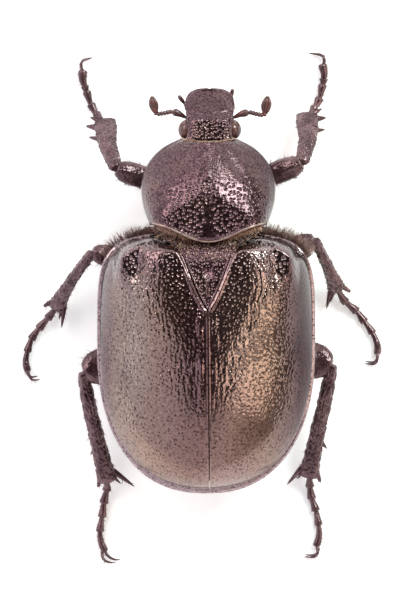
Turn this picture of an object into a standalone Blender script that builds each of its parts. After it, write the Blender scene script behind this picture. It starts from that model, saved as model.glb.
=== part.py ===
"""Hermit beetle (Osmoderma eremita, a male), a still life-size model that stands on its own feet.

The head points to +Y, the back to +Z, and the feet stand on z = 0. Every size below is in
millimetres; new_object turns them into metres. The shield, head and wing cases are curved plates
given by a plan outline and a height, the legs and feelers are tubes along a path, and a piece is
parted from the piece it grows from by cutting it with that piece, grown by the seam.
"""

import math

import bmesh
import bpy
from mathutils import Vector

MM = 0.001
SEAM = 0.25            # gap that parts two neighbouring pieces

# Wing cases, seen from above: two half superellipses that meet where they are widest
ELYTRA_HALF_WIDTH = 8.1
ELYTRA_WIDEST_Y = -2.85
ELYTRA_FRONT_REACH = 8.3
ELYTRA_REAR_REACH = 11.05
SHOULDER_SQUARENESS = 4.8
APEX_SQUARENESS = 2.33
ELYTRA_RIM_Z = 6.4     # side margin where the wing cases are widest
ELYTRA_RIM_SLOPE = 0.07
ELYTRA_CROWN = 5.15    # rise of the back over the side margin
ELYTRA_FRONT_FALL = 0.28  # share of the crown that is lost at the front margin
ELYTRA_WALL = 0.6
ELYTRA_SHIFT = -0.06   # the wing cases sit a touch to the left, and the suture leans to the right
SUTURE_X = 0.05
SUTURE_LEAN = -0.010
RIM_WIDTH = 0.25       # bead that runs round the side margin
RIM_WIDTH_REAR = 0.5
RIM_DEPTH = 0.5
SHOULDER_LEVEL = 3.75  # level hollow inside the shoulder, over the side margin

# Swellings of the back beside the scutellum and before the apex: (x, y, radius x, radius y, rise)
ELYTRA_KNOBS = (
    (3.1, 2.4, 1.1, 2.0, 0.10),
    (5.0, -9.6, 1.4, 1.5, 0.12),
)

# Scutellum: a long triangle between the wing cases, with the collar in front of it
SCUTELLUM_TIP_Y = -0.2
SCUTELLUM_BASE_Y = 3.6
SCUTELLUM_HALF_WIDTH = 1.7
COLLAR_HALF_WIDTH = 3.6
COLLAR_Y = 5.25
SCUTELLUM_SUNK = 0.35  # below the wing cases
SCUTELLUM_WALL = 0.9
COLLAR_Z = 9.3

# Shield (pronotum), seen from above: an ellipse cut off by the front and hind margins
SHIELD_SHIFT = 0.1     # the shield and head sit a touch to the right, as in the photo
SHIELD_HALF_WIDTH = 5.0
SHIELD_WIDEST_Y = 8.74
SHIELD_FRONT_REACH = 4.13
SHIELD_REAR_REACH = 5.43
SHIELD_FRONT_Y = 12.42
SHIELD_FRONT_BOW = -0.28  # the middle of the front margin lies behind its corners
SHIELD_HIND_Y = 6.03
SHIELD_HIND_BOW = 1.3  # how far the middle of the hind margin reaches back
SHIELD_RIM_Z = 7.3
SHIELD_TOP_Z = 11.1
SHIELD_TOP_Y = 8.2     # the shield is level behind this line and falls in front of it
BROW_SLOPE = 0.34      # how fast it falls there
BROW_LENGTH = 2.3      # past this distance from the line it falls faster, by BROW_FALL
BROW_FALL = 0.13
SHIELD_WALL = 0.75
PROTHORAX_SIDE_Z = 7.0

# Block of the prothorax, from the back forwards: (y, half width, level below, level inside the shield)
PROTHORAX_RINGS = (
    (6.2, 3.5, 5.0, 10.5), (6.8, 3.9, 4.1, 10.7), (8.2, 4.3, 3.6, 10.7),
    (10.0, 3.9, 3.8, 10.2), (11.3, 3.0, 4.4, 9.6), (12.05, 2.1, 5.0, 9.1),
)

# Head
HEAD_SHIFT = 0.2
HEAD_HALF_WIDTH = 1.75
HEAD_BACK_Y = 12.42
HEAD_WIDEST_Y = 14.32
HEAD_FRONT_REACH = 1.79
CLYPEUS_SQUARENESS = 3.6
VERTEX_Z = 8.15
CLYPEUS_Y = 13.8       # in front of this line the head slopes down
EYE_CENTRE = (1.66, 13.13, 6.88)
EYE_RADII = (0.62, 0.74, 0.74)

# Underside
BELLY_Z = 2.9
BODY_HALF_WIDTH = 7.0
BODY_SIDE_Z = 5.6      # level of the body's side, under the rim of the wing cases
THORAX_FRONT_Y = 5.95
WAIST_Y = -2.6         # where the thorax ends and the abdomen starts
ABDOMEN_REAR_Y = -13.0
VENTRITES = 5

FLOOR_Z = 0.0
FLOOR_REACH = 30.0

MATERIALS = {
    "bronze_cuticle": ((0.055, 0.040, 0.036), 0.30, 0.55),
    "dark_cuticle": ((0.030, 0.018, 0.020), 0.38, 0.25),
    "leg_cuticle": ((0.040, 0.022, 0.025), 0.36, 0.30),
    "red_brown_cuticle": ((0.110, 0.030, 0.026), 0.32, 0.10),
    "eye": ((0.095, 0.035, 0.032), 0.12, 0.0),
}

# Each leg: points as (x, y, z), the foot as a path in plan, and teeth and spurs as root, tip and radius
LEGS = {
    "front_left": {
        "coxa": (-1.45, 8.5, 3.35), "hip": (-2.2, 8.8, 3.05), "knee": (-6.78, 10.24, 4.8),
        "ankle": (-7.6, 13.9, 1.15), "bow": (-0.2, 0.0),
        "foot": ((-8.02, 14.1), (-8.22, 14.35), (-8.65, 15.07), (-8.98, 16.0), (-9.12, 16.42),
                 (-9.3, 17.0), (-9.27, 17.68)),
        "claw": ((-9.16, 18.35), (-8.52, 18.62)),
        "spikes": (((-8.2, 13.36), (-9.05, 13.48), 0.28), ((-8.1, 12.5), (-8.82, 12.64), 0.22),
                   ((-8.2, 13.9), (-8.74, 14.16), 0.18)),
    },
    "front_right": {
        "coxa": (1.45, 8.5, 3.35), "hip": (2.2, 8.8, 3.05), "knee": (7.1, 10.68, 4.8),
        "ankle": (7.45, 14.36, 1.15), "bow": (0.22, 0.0),
        "foot": ((7.8, 14.5), (8.0, 14.8), (8.39, 15.51), (8.63, 16.53), (8.72, 16.95),
                 (8.76, 17.5), (8.6, 18.15)),
        "claw": ((8.35, 18.75), (7.65, 18.95)),
        "spikes": (((8.1, 14.0), (8.92, 14.1), 0.28), ((8.1, 13.1), (8.82, 13.22), 0.22),
                   ((8.1, 14.5), (8.6, 14.8), 0.18)),
    },
    "mid_left": {
        "coxa": (-2.1, 2.6, 2.75), "hip": (-2.7, 2.75, 2.3), "knee": (-8.55, 4.02, 4.7),
        "ankle": (-11.2, 0.05, 1.15), "bow": (-0.1, 0.07),
        "foot": ((-11.35, -0.2), (-11.84, -0.82), (-12.53, -1.61), (-13.08, -2.38), (-13.41, -3.31),
                 (-13.55, -4.17), (-13.35, -4.9)),
        "claw": ((-13.02, -5.42), (-12.45, -5.36)),
        "spikes": (((-10.65, 0.0), (-10.86, -1.6), 0.2), ((-10.85, 0.0), (-11.05, -1.0), 0.17)),
        "fingers": (((-11.5, 0.42), (-12.2, 0.02), 0.2),),
    },
    "mid_right": {
        "coxa": (2.1, 2.6, 2.75), "hip": (2.7, 2.75, 2.3), "knee": (8.02, 4.97, 4.7),
        "ankle": (9.65, 1.42, 1.15), "bow": (0.05, 0.03),
        "foot": ((9.82, 1.15), (10.32, 0.37), (11.13, -0.31), (11.73, -1.08), (12.35, -1.93),
                 (12.75, -2.9), (12.7, -3.62)),
        "claw": ((12.42, -4.16), (11.77, -4.24)),
        "spikes": (((9.2, 1.1), (8.93, -0.18), 0.2), ((9.45, 1.1), (9.2, 0.3), 0.17)),
        "fingers": (((9.95, 1.6), (10.72, 1.1), 0.2),),
    },
    "hind_left": {
        "coxa": (-2.9, -2.75, 2.8), "hip": (-3.1, -3.2, 2.3), "knee": (-9.25, -4.85, 3.75),
        "ankle": (-7.45, -12.85, 1.15), "bow": (-0.1, 0.0),
        "foot": ((-7.46, -13.1), (-7.48, -13.65), (-7.7, -14.62), (-7.83, -15.65), (-8.0, -16.75),
                 (-7.93, -17.6), (-7.58, -18.35)),
        "claw": ((-7.25, -18.88), (-6.51, -19.0)),
        "spikes": (((-6.95, -12.3), (-5.4, -13.46), 0.22), ((-7.1, -12.6), (-6.42, -13.25), 0.17),
                   ((-8.3, -10.5), (-8.7, -11.08), 0.2)),
        "fingers": (((-7.95, -12.4), (-8.12, -13.5), 0.2),),
    },
    "hind_right": {
        "coxa": (2.9, -2.75, 2.8), "hip": (3.1, -3.2, 2.3), "knee": (9.35, -4.3, 3.75),
        "ankle": (7.6, -12.5, 1.15), "bow": (0.0, 0.0),
        "foot": ((7.64, -12.8), (7.68, -13.37), (7.82, -14.28), (8.12, -15.19), (8.33, -16.27),
                 (8.38, -17.2), (8.12, -17.98)),
        "claw": ((7.84, -18.5), (7.18, -18.7)),
        "spikes": (((7.1, -12.0), (5.97, -13.32), 0.22), ((7.25, -12.2), (6.72, -12.9), 0.17),
                   ((8.5, -10.1), (8.96, -10.62), 0.2)),
        "fingers": (((8.12, -12.0), (8.45, -13.1), 0.2),),
    },
}

# Half widths and half depths along each kind of leg, as (share of the length, half width, half depth)
FEMUR = {
    "front": ((0.0, 0.50, 0.45), (0.12, 0.66, 0.52), (0.45, 0.84, 0.60), (0.82, 0.88, 0.60),
              (0.95, 0.64, 0.50), (1.0, 0.35, 0.30)),
    "mid": ((0.0, 0.50, 0.45), (0.12, 0.66, 0.52), (0.45, 0.84, 0.60), (0.82, 0.84, 0.60),
            (0.95, 0.66, 0.50), (1.0, 0.35, 0.30)),
    "hind": ((0.0, 0.60, 0.45), (0.12, 0.90, 0.55), (0.42, 1.28, 0.68), (0.70, 1.42, 0.68),
             (0.86, 1.28, 0.60), (0.96, 0.84, 0.48), (1.0, 0.45, 0.32)),
}
TIBIA = {
    "front": ((0.0, 0.32, 0.29), (0.06, 0.48, 0.38), (0.25, 0.57, 0.38), (0.50, 0.69, 0.37),
              (0.75, 0.80, 0.35), (0.94, 0.80, 0.33), (1.0, 0.70, 0.28)),
    "mid": ((0.0, 0.30, 0.28), (0.06, 0.36, 0.36), (0.30, 0.37, 0.38), (0.60, 0.45, 0.40),
            (0.85, 0.60, 0.42), (0.96, 0.66, 0.42), (1.0, 0.55, 0.35)),
    "hind": ((0.0, 0.32, 0.30), (0.05, 0.46, 0.42), (0.30, 0.52, 0.42), (0.60, 0.56, 0.45),
             (0.85, 0.66, 0.46), (0.97, 0.72, 0.46), (1.0, 0.58, 0.36)),
}
TARSOMERE_NECK = 0.25
TARSOMERE_FLARE = 0.35
TARSOMERE_DEPTH = 0.31
TARSUS_LEVEL = 0.27    # centre of the foot over the floor, a little under its half depth
CLAW_RADIUS = 0.23
SPINE_TIP = 0.07
FINGER_TIP = 0.13


def smoothstep(low, high, value):
    share = min(max((value - low) / (high - low), 0.0), 1.0)
    return share * share * (3 - 2 * share)


def mound(x, y, centre_x, centre_y, radius_x, radius_y):
    """A round swelling of height 1."""
    return math.exp(-(((x - centre_x) / radius_x) ** 2) - ((y - centre_y) / radius_y) ** 2)


def superellipse(distance, reach, half_width, squareness):
    """Half width of a superellipse at a distance from its widest place."""
    share = min(abs(distance) / reach, 1.0)
    return half_width * (1 - share ** squareness) ** (1 / squareness)


def arch(share, sides, crown):
    """Height of an arched cross-section, 1 in the middle and 0 at its edges."""
    return max(1 - abs(share) ** sides, 0.0) ** (1 / crown)


# Meshes and Booleans

def material(name):
    found = bpy.data.materials.get(name)
    if found:
        return found
    colour, roughness, metallic = MATERIALS[name]
    made = bpy.data.materials.new(name)
    made.use_nodes = True
    shader = made.node_tree.nodes["Principled BSDF"]
    shader.inputs["Base Color"].default_value = (*colour, 1.0)
    shader.inputs["Roughness"].default_value = roughness
    shader.inputs["Metallic"].default_value = metallic
    return made


def new_object(name, points, faces, finish):
    """An object from points in millimetres, with its faces turned outwards."""
    mesh = bpy.data.meshes.new(name)
    mesh.from_pydata([Vector(p) * MM for p in points], [], faces)
    shape = bmesh.new()
    shape.from_mesh(mesh)
    bmesh.ops.recalc_face_normals(shape, faces=shape.faces)
    shape.to_mesh(mesh)
    shape.free()
    mesh.shade_smooth()
    mesh.materials.append(material(finish))
    made = bpy.data.objects.new(name, mesh)
    bpy.context.scene.collection.objects.link(made)
    return made


def loft(name, rings, finish):
    """A closed body through rings of points. Point k of a ring faces point n - 1 - k across it."""
    count = len(rings[0])
    faces = []
    for i in range(len(rings) - 1):
        for k in range(count):
            near, far = i * count, (i + 1) * count
            faces.append((near + k, near + (k + 1) % count, far + (k + 1) % count, far + k))
    for start in (0, (len(rings) - 1) * count):
        for k in range(count // 2 - 1):
            faces.append((start + k, start + k + 1, start + count - 2 - k, start + count - 1 - k))
    return new_object(name, [p for ring in rings for p in ring], faces, finish)


def apply_boolean(body, operation, others):
    """Joins or cuts body with the other objects, which are then removed."""
    helpers = bpy.data.collections.new("helpers")
    bpy.context.scene.collection.children.link(helpers)
    for other in others:
        helpers.objects.link(other)
        bpy.context.scene.collection.objects.unlink(other)
    step = body.modifiers.new("boolean", "BOOLEAN")
    step.operation = operation
    step.operand_type = "COLLECTION"
    step.collection = helpers
    step.solver = "MANIFOLD"
    bpy.context.view_layer.update()
    evaluated = body.evaluated_get(bpy.context.evaluated_depsgraph_get())
    result = bpy.data.meshes.new_from_object(evaluated)
    body.modifiers.clear()
    body.data = result
    for other in others:
        bpy.data.objects.remove(other)
    bpy.data.collections.remove(helpers)
    keep_largest(body)
    return body


def keep_largest(body):
    """Drops every loose scrap but the largest closed surface."""
    shape = bmesh.new()
    shape.from_mesh(body.data)
    bmesh.ops.remove_doubles(shape, verts=shape.verts, dist=0.002 * MM)
    bmesh.ops.dissolve_degenerate(shape, edges=shape.edges, dist=0.002 * MM)
    left = set(shape.verts)
    pieces = []
    while left:
        piece, front = set(), [left.pop()]
        while front:
            vert = front.pop()
            piece.add(vert)
            for edge in vert.link_edges:
                other = edge.other_vert(vert)
                if other in left:
                    left.remove(other)
                    front.append(other)
        pieces.append(piece)
    pieces.sort(key=len, reverse=True)
    scraps = [vert for piece in pieces[1:] for vert in piece]
    bmesh.ops.delete(shape, geom=scraps, context="VERTS")
    shape.to_mesh(body.data)
    shape.free()


def fuse(body, *others):
    return apply_boolean(body, "UNION", others)


def cut(body, *cutters):
    return apply_boolean(body, "DIFFERENCE", cutters)


def box(name, low, high):
    """A block from one corner to the other, for cutting."""
    rings = [[(low[0], y, low[2]), (high[0], y, low[2]), (high[0], y, high[2]), (low[0], y, high[2])]
             for y in (low[1], high[1])]
    return loft(name, rings, "dark_cuticle")


# Tubes

def smooth_path(points, steps):
    """Points spread evenly along a Catmull-Rom curve through a few given points."""
    knots = [Vector(p) for p in points]
    knots = [2 * knots[0] - knots[1], *knots, 2 * knots[-1] - knots[-2]]
    fine = []
    for i in range(1, len(knots) - 2):
        a, b, c, d = knots[i - 1:i + 3]
        for k in range(12):
            t = k / 12
            fine.append(0.5 * (2 * b + (c - a) * t + (2 * a - 5 * b + 4 * c - d) * t ** 2
                               + (3 * b - a - 3 * c + d) * t ** 3))
    fine.append(knots[-2])
    lengths = [0.0]
    for i in range(1, len(fine)):
        lengths.append(lengths[-1] + (fine[i] - fine[i - 1]).length)
    return [along(fine, lengths, share * lengths[-1]) for share in steps]


def along(points, lengths, distance):
    """The point and the direction at a distance along a polyline."""
    for i in range(1, len(points)):
        if distance <= lengths[i] or i == len(points) - 1:
            span = max(lengths[i] - lengths[i - 1], 1e-9)
            share = (distance - lengths[i - 1]) / span
            step = points[i] - points[i - 1]
            return points[i - 1] + step * share, step.normalized()


def tube(name, path, profile, finish, sides=10, grow=0.0, flat=(0, 0, 1)):
    """A tube of flattened round section. profile holds (share of length, half width, half depth)."""
    stations = smooth_path(path, [step[0] for step in profile])
    rings = []
    for i, (centre, direction) in enumerate(stations):
        if grow and i in (0, len(stations) - 1):
            centre = centre + direction * (grow if i else -grow)
        across = Vector(flat).cross(direction).normalized()
        up = direction.cross(across).normalized()
        half_width, half_depth = profile[i][1] + grow, profile[i][2] + grow
        ring = []
        for k in range(sides):
            angle = 2 * math.pi * (k + 0.5) / sides
            wide, high = half_width * math.cos(angle), half_depth * math.sin(angle)
            ring.append(centre + across * wide + up * high)
        rings.append(ring)
    return loft(name, rings, finish)


def spike(name, root, tip, radius, finish, sides=6, bend=(0, 0, 0), tip_radius=SPINE_TIP):
    """A tapered spine, tooth or claw."""
    root, tip = Vector(root), Vector(tip)
    middle = (root + tip) / 2 + Vector(bend)
    profile = ((0.0, radius, radius), (0.35, radius * 0.85, radius * 0.85),
               (0.7, radius * 0.55, radius * 0.55), (1.0, tip_radius, tip_radius))
    return tube(name, (root, middle, tip), profile, finish, sides)


# Wing cases

def elytra_half_width(y):
    if y > ELYTRA_WIDEST_Y:
        return superellipse(y - ELYTRA_WIDEST_Y, ELYTRA_FRONT_REACH, ELYTRA_HALF_WIDTH, SHOULDER_SQUARENESS)
    return superellipse(y - ELYTRA_WIDEST_Y, ELYTRA_REAR_REACH, ELYTRA_HALF_WIDTH, APEX_SQUARENESS)


def elytra_rim_z(y):
    return ELYTRA_RIM_Z + ELYTRA_RIM_SLOPE * (y - ELYTRA_WIDEST_Y)


def elytra_rim_width(y):
    return RIM_WIDTH + (RIM_WIDTH_REAR - RIM_WIDTH) * smoothstep(-4.0, -11.0, y)


def elytra_crown(y):
    """Rise of the back over the side margin, along the body."""
    if y > ELYTRA_WIDEST_Y:
        share = min((y - ELYTRA_WIDEST_Y) / ELYTRA_FRONT_REACH, 1.0)
        return ELYTRA_CROWN * (1 - 0.10 * share ** 2 - ELYTRA_FRONT_FALL * smoothstep(0.85, 1.0, share))
    share = min((ELYTRA_WIDEST_Y - y) / ELYTRA_REAR_REACH, 1.0)
    return ELYTRA_CROWN * (1 - share ** 3) ** 0.5


def elytra_z(x, y, edge):
    """Height of the back at x, y. edge is the half width of the arch there."""
    flatness = 4.2 - 2.4 * smoothstep(3.4, -5.0, y)     # level across in front, a roof behind
    dome = elytra_crown(y) * arch(x / edge, flatness, 1.25)
    terrace = smoothstep(4.4, 5.2, abs(x)) * smoothstep(7.0, 6.1, abs(x)) * smoothstep(1.0, 2.8, y)
    terrace *= smoothstep(5.3, 4.2, y)
    dome += (SHOULDER_LEVEL - dome) * terrace
    for knob in ELYTRA_KNOBS:
        dome += knob[4] * mound(abs(x), y, *knob[:4])
    return elytra_rim_z(y) + dome


def lining(y, grow):
    """Where the inside of the wing cases lies at y: the y of the outside over it, and its half width."""
    reach = ELYTRA_FRONT_REACH if y > ELYTRA_WIDEST_Y else ELYTRA_REAR_REACH
    outer_y = ELYTRA_WIDEST_Y + (y - ELYTRA_WIDEST_Y) / (1 - (ELYTRA_WALL + grow) / reach)
    width = elytra_half_width(outer_y)
    edge = width - min(elytra_rim_width(outer_y), 0.25 * width)
    return outer_y, max(edge * (1 - ELYTRA_WALL / ELYTRA_HALF_WIDTH) - grow, 0.05)


def elytron(side, name):
    """One wing case: a shell from the seam down the back to the flange at the side."""
    across, sections = 12, 26
    rings = []
    for i in range(sections + 1):
        angle = math.radians(-86.0 + 172.0 * i / sections)
        sine = math.sin(angle)
        reach, square = ((ELYTRA_FRONT_REACH, SHOULDER_SQUARENESS) if sine > 0
                         else (ELYTRA_REAR_REACH, APEX_SQUARENESS))
        y = ELYTRA_WIDEST_Y + math.copysign(reach * abs(sine) ** (2 / square), sine)
        width = elytra_half_width(y)
        flange = min(elytra_rim_width(y), 0.25 * width)
        edge = width - flange
        rim_z = elytra_rim_z(y)
        inner_y = ELYTRA_WIDEST_Y + (y - ELYTRA_WIDEST_Y) * (1 - ELYTRA_WALL / reach)
        inner_edge = edge * (1 - ELYTRA_WALL / ELYTRA_HALF_WIDTH)
        suture = side * (SUTURE_X + SUTURE_LEAN * y - ELYTRA_SHIFT) + SEAM / 2
        outer, inner = [], []
        for k in range(across + 1):
            share = math.sin(math.pi / 2 * k / across)
            x = suture + (edge - suture) * share
            outer.append((x, y, elytra_z(x, y, edge) if k < across else rim_z + 0.12))
            x = suture + (inner_edge - suture) * share
            drop = ELYTRA_WALL + 0.1
            inner.append((x, inner_y, max(elytra_z(x, y, inner_edge) - drop, rim_z - RIM_DEPTH)))
        ring = [*outer, (width, y, rim_z), (width - 0.15, y, rim_z - RIM_DEPTH), *reversed(inner)]
        rings.append([(side * p[0] + ELYTRA_SHIFT, p[1], p[2]) for p in ring])
    return loft(name, rings, "bronze_cuticle")


def scutellum_outline(grow):
    """Half of the scutellum and its collar in plan, from the tip forwards, as (half width, y)."""
    return (
        (0.02 + grow * 0.2, SCUTELLUM_TIP_Y - grow * 1.6),
        (0.55 + grow, 0.75),
        (1.15 + grow, 2.15),
        (SCUTELLUM_HALF_WIDTH + grow, SCUTELLUM_BASE_Y),
        (2.05 + grow, 4.15),
        (2.75 + grow, 4.7),
        (COLLAR_HALF_WIDTH + grow, COLLAR_Y),
    )


def notch_cutter():
    """Clears the wing cases from the scutellum and the collar."""
    rings = []
    for half, y in (*scutellum_outline(SEAM), (COLLAR_HALF_WIDTH + SEAM, 8.0)):
        rings.append([(-half, y, 5.0), (half, y, 5.0), (half, y, 14.0), (-half, y, 14.0)])
    return loft("notch", rings, "dark_cuticle")


def scutellum():
    rings = []
    for half, y in scutellum_outline(0.0):
        top = elytra_z(0, y, elytra_half_width(y)) - SCUTELLUM_SUNK
        top += (COLLAR_Z - top) * smoothstep(3.3, 4.5, y)
        base = top - SCUTELLUM_WALL
        arc = [(half * (2 * k / 6 - 1), y, top - 0.22 * (2 * k / 6 - 1) ** 2) for k in range(7)]
        rings.append([*arc, *[(p[0], y, base) for p in reversed(arc)]])
    return loft("scutellum", rings, "dark_cuticle")


# Shield

def shield_half_width(y):
    reach = SHIELD_FRONT_REACH if y > SHIELD_WIDEST_Y else SHIELD_REAR_REACH
    corner = 1 - 0.03 * smoothstep(11.6, SHIELD_FRONT_Y, y) ** 1.5
    return corner * superellipse(y - SHIELD_WIDEST_Y, reach, SHIELD_HALF_WIDTH, 2.0)


def shield_plan(across, share):
    """A place on the shield: across from -1 to 1, share from the hind margin 0 to the front 1."""
    side_y = SHIELD_HIND_Y + (SHIELD_FRONT_Y - SHIELD_HIND_Y) * share
    x = across * shield_half_width(side_y)
    hind = -SHIELD_HIND_BOW * (1 + math.cos(math.pi * across)) / 2 * (1 - share) ** 2
    front = SHIELD_FRONT_BOW * (1 - across ** 2) * share ** 2
    return x, side_y + hind + front, side_y


def shield_z(x, y, side_y):
    """Height of the shield, with the male's twin ridges and the furrow between them."""
    rim = SHIELD_RIM_Z + 0.05 * (SHIELD_WIDEST_Y - side_y)
    brow = max(y - (SHIELD_TOP_Y - 0.55 * abs(x)), 0.0)     # in front of a line that runs back and out
    top = SHIELD_TOP_Z - BROW_SLOPE * (math.sqrt(brow ** 2 + 0.16) - 0.4)
    top -= BROW_FALL * max(brow - BROW_LENGTH, 0.0) ** 1.6
    flatness = 9.0 - 4.2 * smoothstep(6.6, 8.2, y) - 2.2 * smoothstep(8.2, 10.5, y)
    height = rim + (top - rim) * arch(x / shield_half_width(side_y), flatness, 1.8)
    ridge = mound(abs(x), 0.0, 0.75, 0.0, 0.4, 1.0) * smoothstep(9.0, 11.2, y) * smoothstep(12.2, 11.2, y)
    furrow = mound(x, 0.0, 0.0, 0.0, 0.3, 1.0) * smoothstep(9.8, 9.0, y) * smoothstep(7.3, 8.0, y)
    bumps = mound(x, y, -0.36, 11.2, 0.28, 0.45) + mound(x, y, 0.80, 11.2, 0.30, 0.5)
    return height + 0.10 * ridge - 0.12 * furrow + 0.10 * bumps


def shield():
    """The pronotum plate, fused to the block of the prothorax under it."""
    across, sections = 18, 16
    rings = []
    for i in range(sections + 1):
        share = i / sections
        top, low = [], []
        for k in range(across + 1):
            place = math.sin(math.pi / 2 * (2 * k / across - 1))
            x, y, side_y = shield_plan(place, share)
            z = shield_z(x, y, side_y)
            top.append((x + SHIELD_SHIFT, y, z))
            low_x = x * (1 - 0.03 * abs(place) ** 8)
            low.append((low_x + SHIELD_SHIFT, y, z - SHIELD_WALL * (1 - 0.25 * abs(place) ** 4)))
        rings.append([*top, *reversed(low)])
    plate = loft("pronotum", rings, "bronze_cuticle")
    return fuse(plate, prothorax_block(0.0))


def prothorax_block(grow):
    """Lower part of the prothorax, which the fore legs hang from."""
    rings = []
    for y, half, low, high in PROTHORAX_RINGS:
        half += grow
        arc_low, arc_high = [], []
        for k in range(9):
            place = math.sin(math.pi / 2 * (k / 4 - 1))
            rise = (PROTHORAX_SIDE_Z - low) * abs(place) ** 2.4
            arc_low.append((half * place + SHIELD_SHIFT, y, low - grow + rise))
            level = PROTHORAX_SIDE_Z + 0.15
            arc_high.append((half * place + SHIELD_SHIFT, y, level + (high - level) * arch(place, 2.2, 1.6)))
        rings.append([*arc_high, *reversed(arc_low)])
    return loft("prothorax", rings, "dark_cuticle")


# Head, eyes, feelers and mouthparts

def head_half_width(y):
    if y > HEAD_WIDEST_Y:
        return superellipse(y - HEAD_WIDEST_Y, HEAD_FRONT_REACH, HEAD_HALF_WIDTH, CLYPEUS_SQUARENESS)
    return HEAD_HALF_WIDTH - 0.1 * smoothstep(HEAD_WIDEST_Y, HEAD_BACK_Y, y)


def head_z(x, y):
    height = VERTEX_Z - 0.12 * (y - 12.2) - 0.60 * max(y - CLYPEUS_Y, 0.0) ** 1.12
    raised_lip = 0.13 * smoothstep(15.5, 16.0, y)
    dish = 0.10 * mound(x, y, 0.0, 15.2, 1.1, 0.6)
    return height + raised_lip - dish


def head():
    rings = []
    steps = 13
    for i in range(steps + 1):
        share = i / steps
        length = HEAD_WIDEST_Y + HEAD_FRONT_REACH * 0.985 - HEAD_BACK_Y
        y = HEAD_BACK_Y + length * math.sin(math.pi / 2 * share)
        half = max(head_half_width(y), 0.5)
        fall = 1.0 - 0.68 * smoothstep(13.5, 15.2, y)
        sides = 5.5 - 2.3 * smoothstep(13.6, 14.6, y)
        low = 4.7 + 1.05 * smoothstep(14.6, 16.0, y)
        top, under = [], []
        for k in range(11):
            place = math.sin(math.pi / 2 * (k / 5 - 1))
            x = half * place
            z = head_z(x, y)
            top.append((x + HEAD_SHIFT, y, z - fall * (1 - arch(place, sides, 2.0))))
            belly = low + 0.9 * abs(place) ** 3 * (1 - smoothstep(14.6, 16.0, y))
            under.append((x * 0.97 + HEAD_SHIFT, y, min(belly, z - fall - 0.35)))
        rings.append([*top, *reversed(under)])
    capsule = loft("head", rings, "bronze_cuticle")
    return cut(capsule, eye(-1, "left_socket", SEAM), eye(1, "right_socket", SEAM))


def eye(side, name, grow=0.0):
    """A round eye, set in the side of the head."""
    rings = []
    radii = [radius + grow for radius in EYE_RADII]
    steps, sides = 8, 12
    for i in range(steps + 1):
        angle = math.radians(-80 + 160 * i / steps)
        rings.append([(side * EYE_CENTRE[0] + HEAD_SHIFT + radii[0] * math.cos(angle) * math.cos(turn),
                       EYE_CENTRE[1] + radii[1] * math.sin(angle),
                       EYE_CENTRE[2] + radii[2] * math.cos(angle) * math.sin(turn))
                      for turn in (2 * math.pi * (k + 0.5) / sides for k in range(sides))])
    return loft(name, rings, "eye")


def antenna(side, name, scape_end, neck_end, club_tip, club_half_width):
    """A feeler: a swollen first joint, a thin beaded stalk and a club of three leaves."""
    root = Vector((side * 2.08 + HEAD_SHIFT, 14.13, 6.25))
    scape_end, neck_end, club_tip = Vector(scape_end), Vector(neck_end), Vector(club_tip)
    scape = tube(name, (root, (root + scape_end) / 2 + Vector((0, 0.06, 0)), scape_end),
                 ((0.0, 0.25, 0.25), (0.35, 0.28, 0.26), (0.75, 0.36, 0.32), (1.0, 0.25, 0.24)),
                 "red_brown_cuticle", 8)
    beads = []
    joints = 5
    for i in range(joints):
        beads += [((i + 0.1) / joints, 0.24, 0.24), ((i + 0.65) / joints, 0.28, 0.27)]
    stalk = tube(name + "_stalk", (scape_end, (scape_end + neck_end) / 2 + Vector((0, -0.02, 0)), neck_end),
                 beads, "red_brown_cuticle", 8)
    elbow = neck_end + Vector((side * 0.1, 0.1, 0.05))
    pieces = [stalk]
    for leaf in (-1, 0, 1):
        shift = Vector((0, 0, leaf * 0.3))
        way = (elbow + shift * 0.3, (elbow + club_tip) / 2 + shift, club_tip + shift * 0.8)
        pieces.append(tube(f"{name}_leaf{leaf}", way,
                           ((0.0, 0.24, 0.24), (0.2, club_half_width * 0.75, 0.2), (0.55, club_half_width, 0.2),
                            (0.85, club_half_width * 0.75, 0.19), (1.0, club_half_width * 0.35, 0.12)),
                           "red_brown_cuticle", 8))
    return fuse(scape, *pieces)


def palp(name, root, tip):
    root, tip = Vector(root), Vector(tip)
    return tube(name, (root, (root + tip) / 2 + Vector((0, 0, 0.1)), tip),
                ((0.0, 0.23, 0.23), (0.3, 0.25, 0.25), (0.7, 0.28, 0.27), (0.93, 0.22, 0.22), (1.0, 0.12, 0.12)),
                "red_brown_cuticle", 8)


def mouthparts(name, grow=0.0):
    """The lower lip and jaws under the head."""
    rings = []
    for y, half, high, low in ((13.3, 0.8, 4.35, 3.9), (13.8, 1.15, 4.4, 3.7), (14.5, 1.2, 4.4, 3.75),
                               (15.1, 0.95, 4.7, 4.1), (15.5, 0.55, 4.85, 4.5)):
        middle, rise = (high + low) / 2, (high - low) / 2
        rings.append([((half + grow) * math.cos(a) + HEAD_SHIFT, y, middle + (rise + grow) * math.sin(a))
                      for a in (2 * math.pi * (k + 0.5) / 10 for k in range(10))])
    return loft(name, rings, "red_brown_cuticle")


# Underside

def body_half_width(y):
    return min(BODY_HALF_WIDTH, lining(y, SEAM)[1])


def belly_z(x, y):
    """Level of the underside."""
    lift = 2.6 * (abs(x) / BODY_HALF_WIDTH) ** 2.4
    tail = 2.3 * smoothstep(-9.3, ABDOMEN_REAR_Y, y) ** 1.4
    return BELLY_Z + lift + tail


def core_top_z(x, y):
    """Top of the body, a seam below the inside of the wing cases."""
    outer_y, edge = lining(y, SEAM)
    share = min(abs(x) / edge, 1.0)
    return elytra_z(share * edge, outer_y, edge) - ELYTRA_WALL - 0.1 - SEAM


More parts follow.
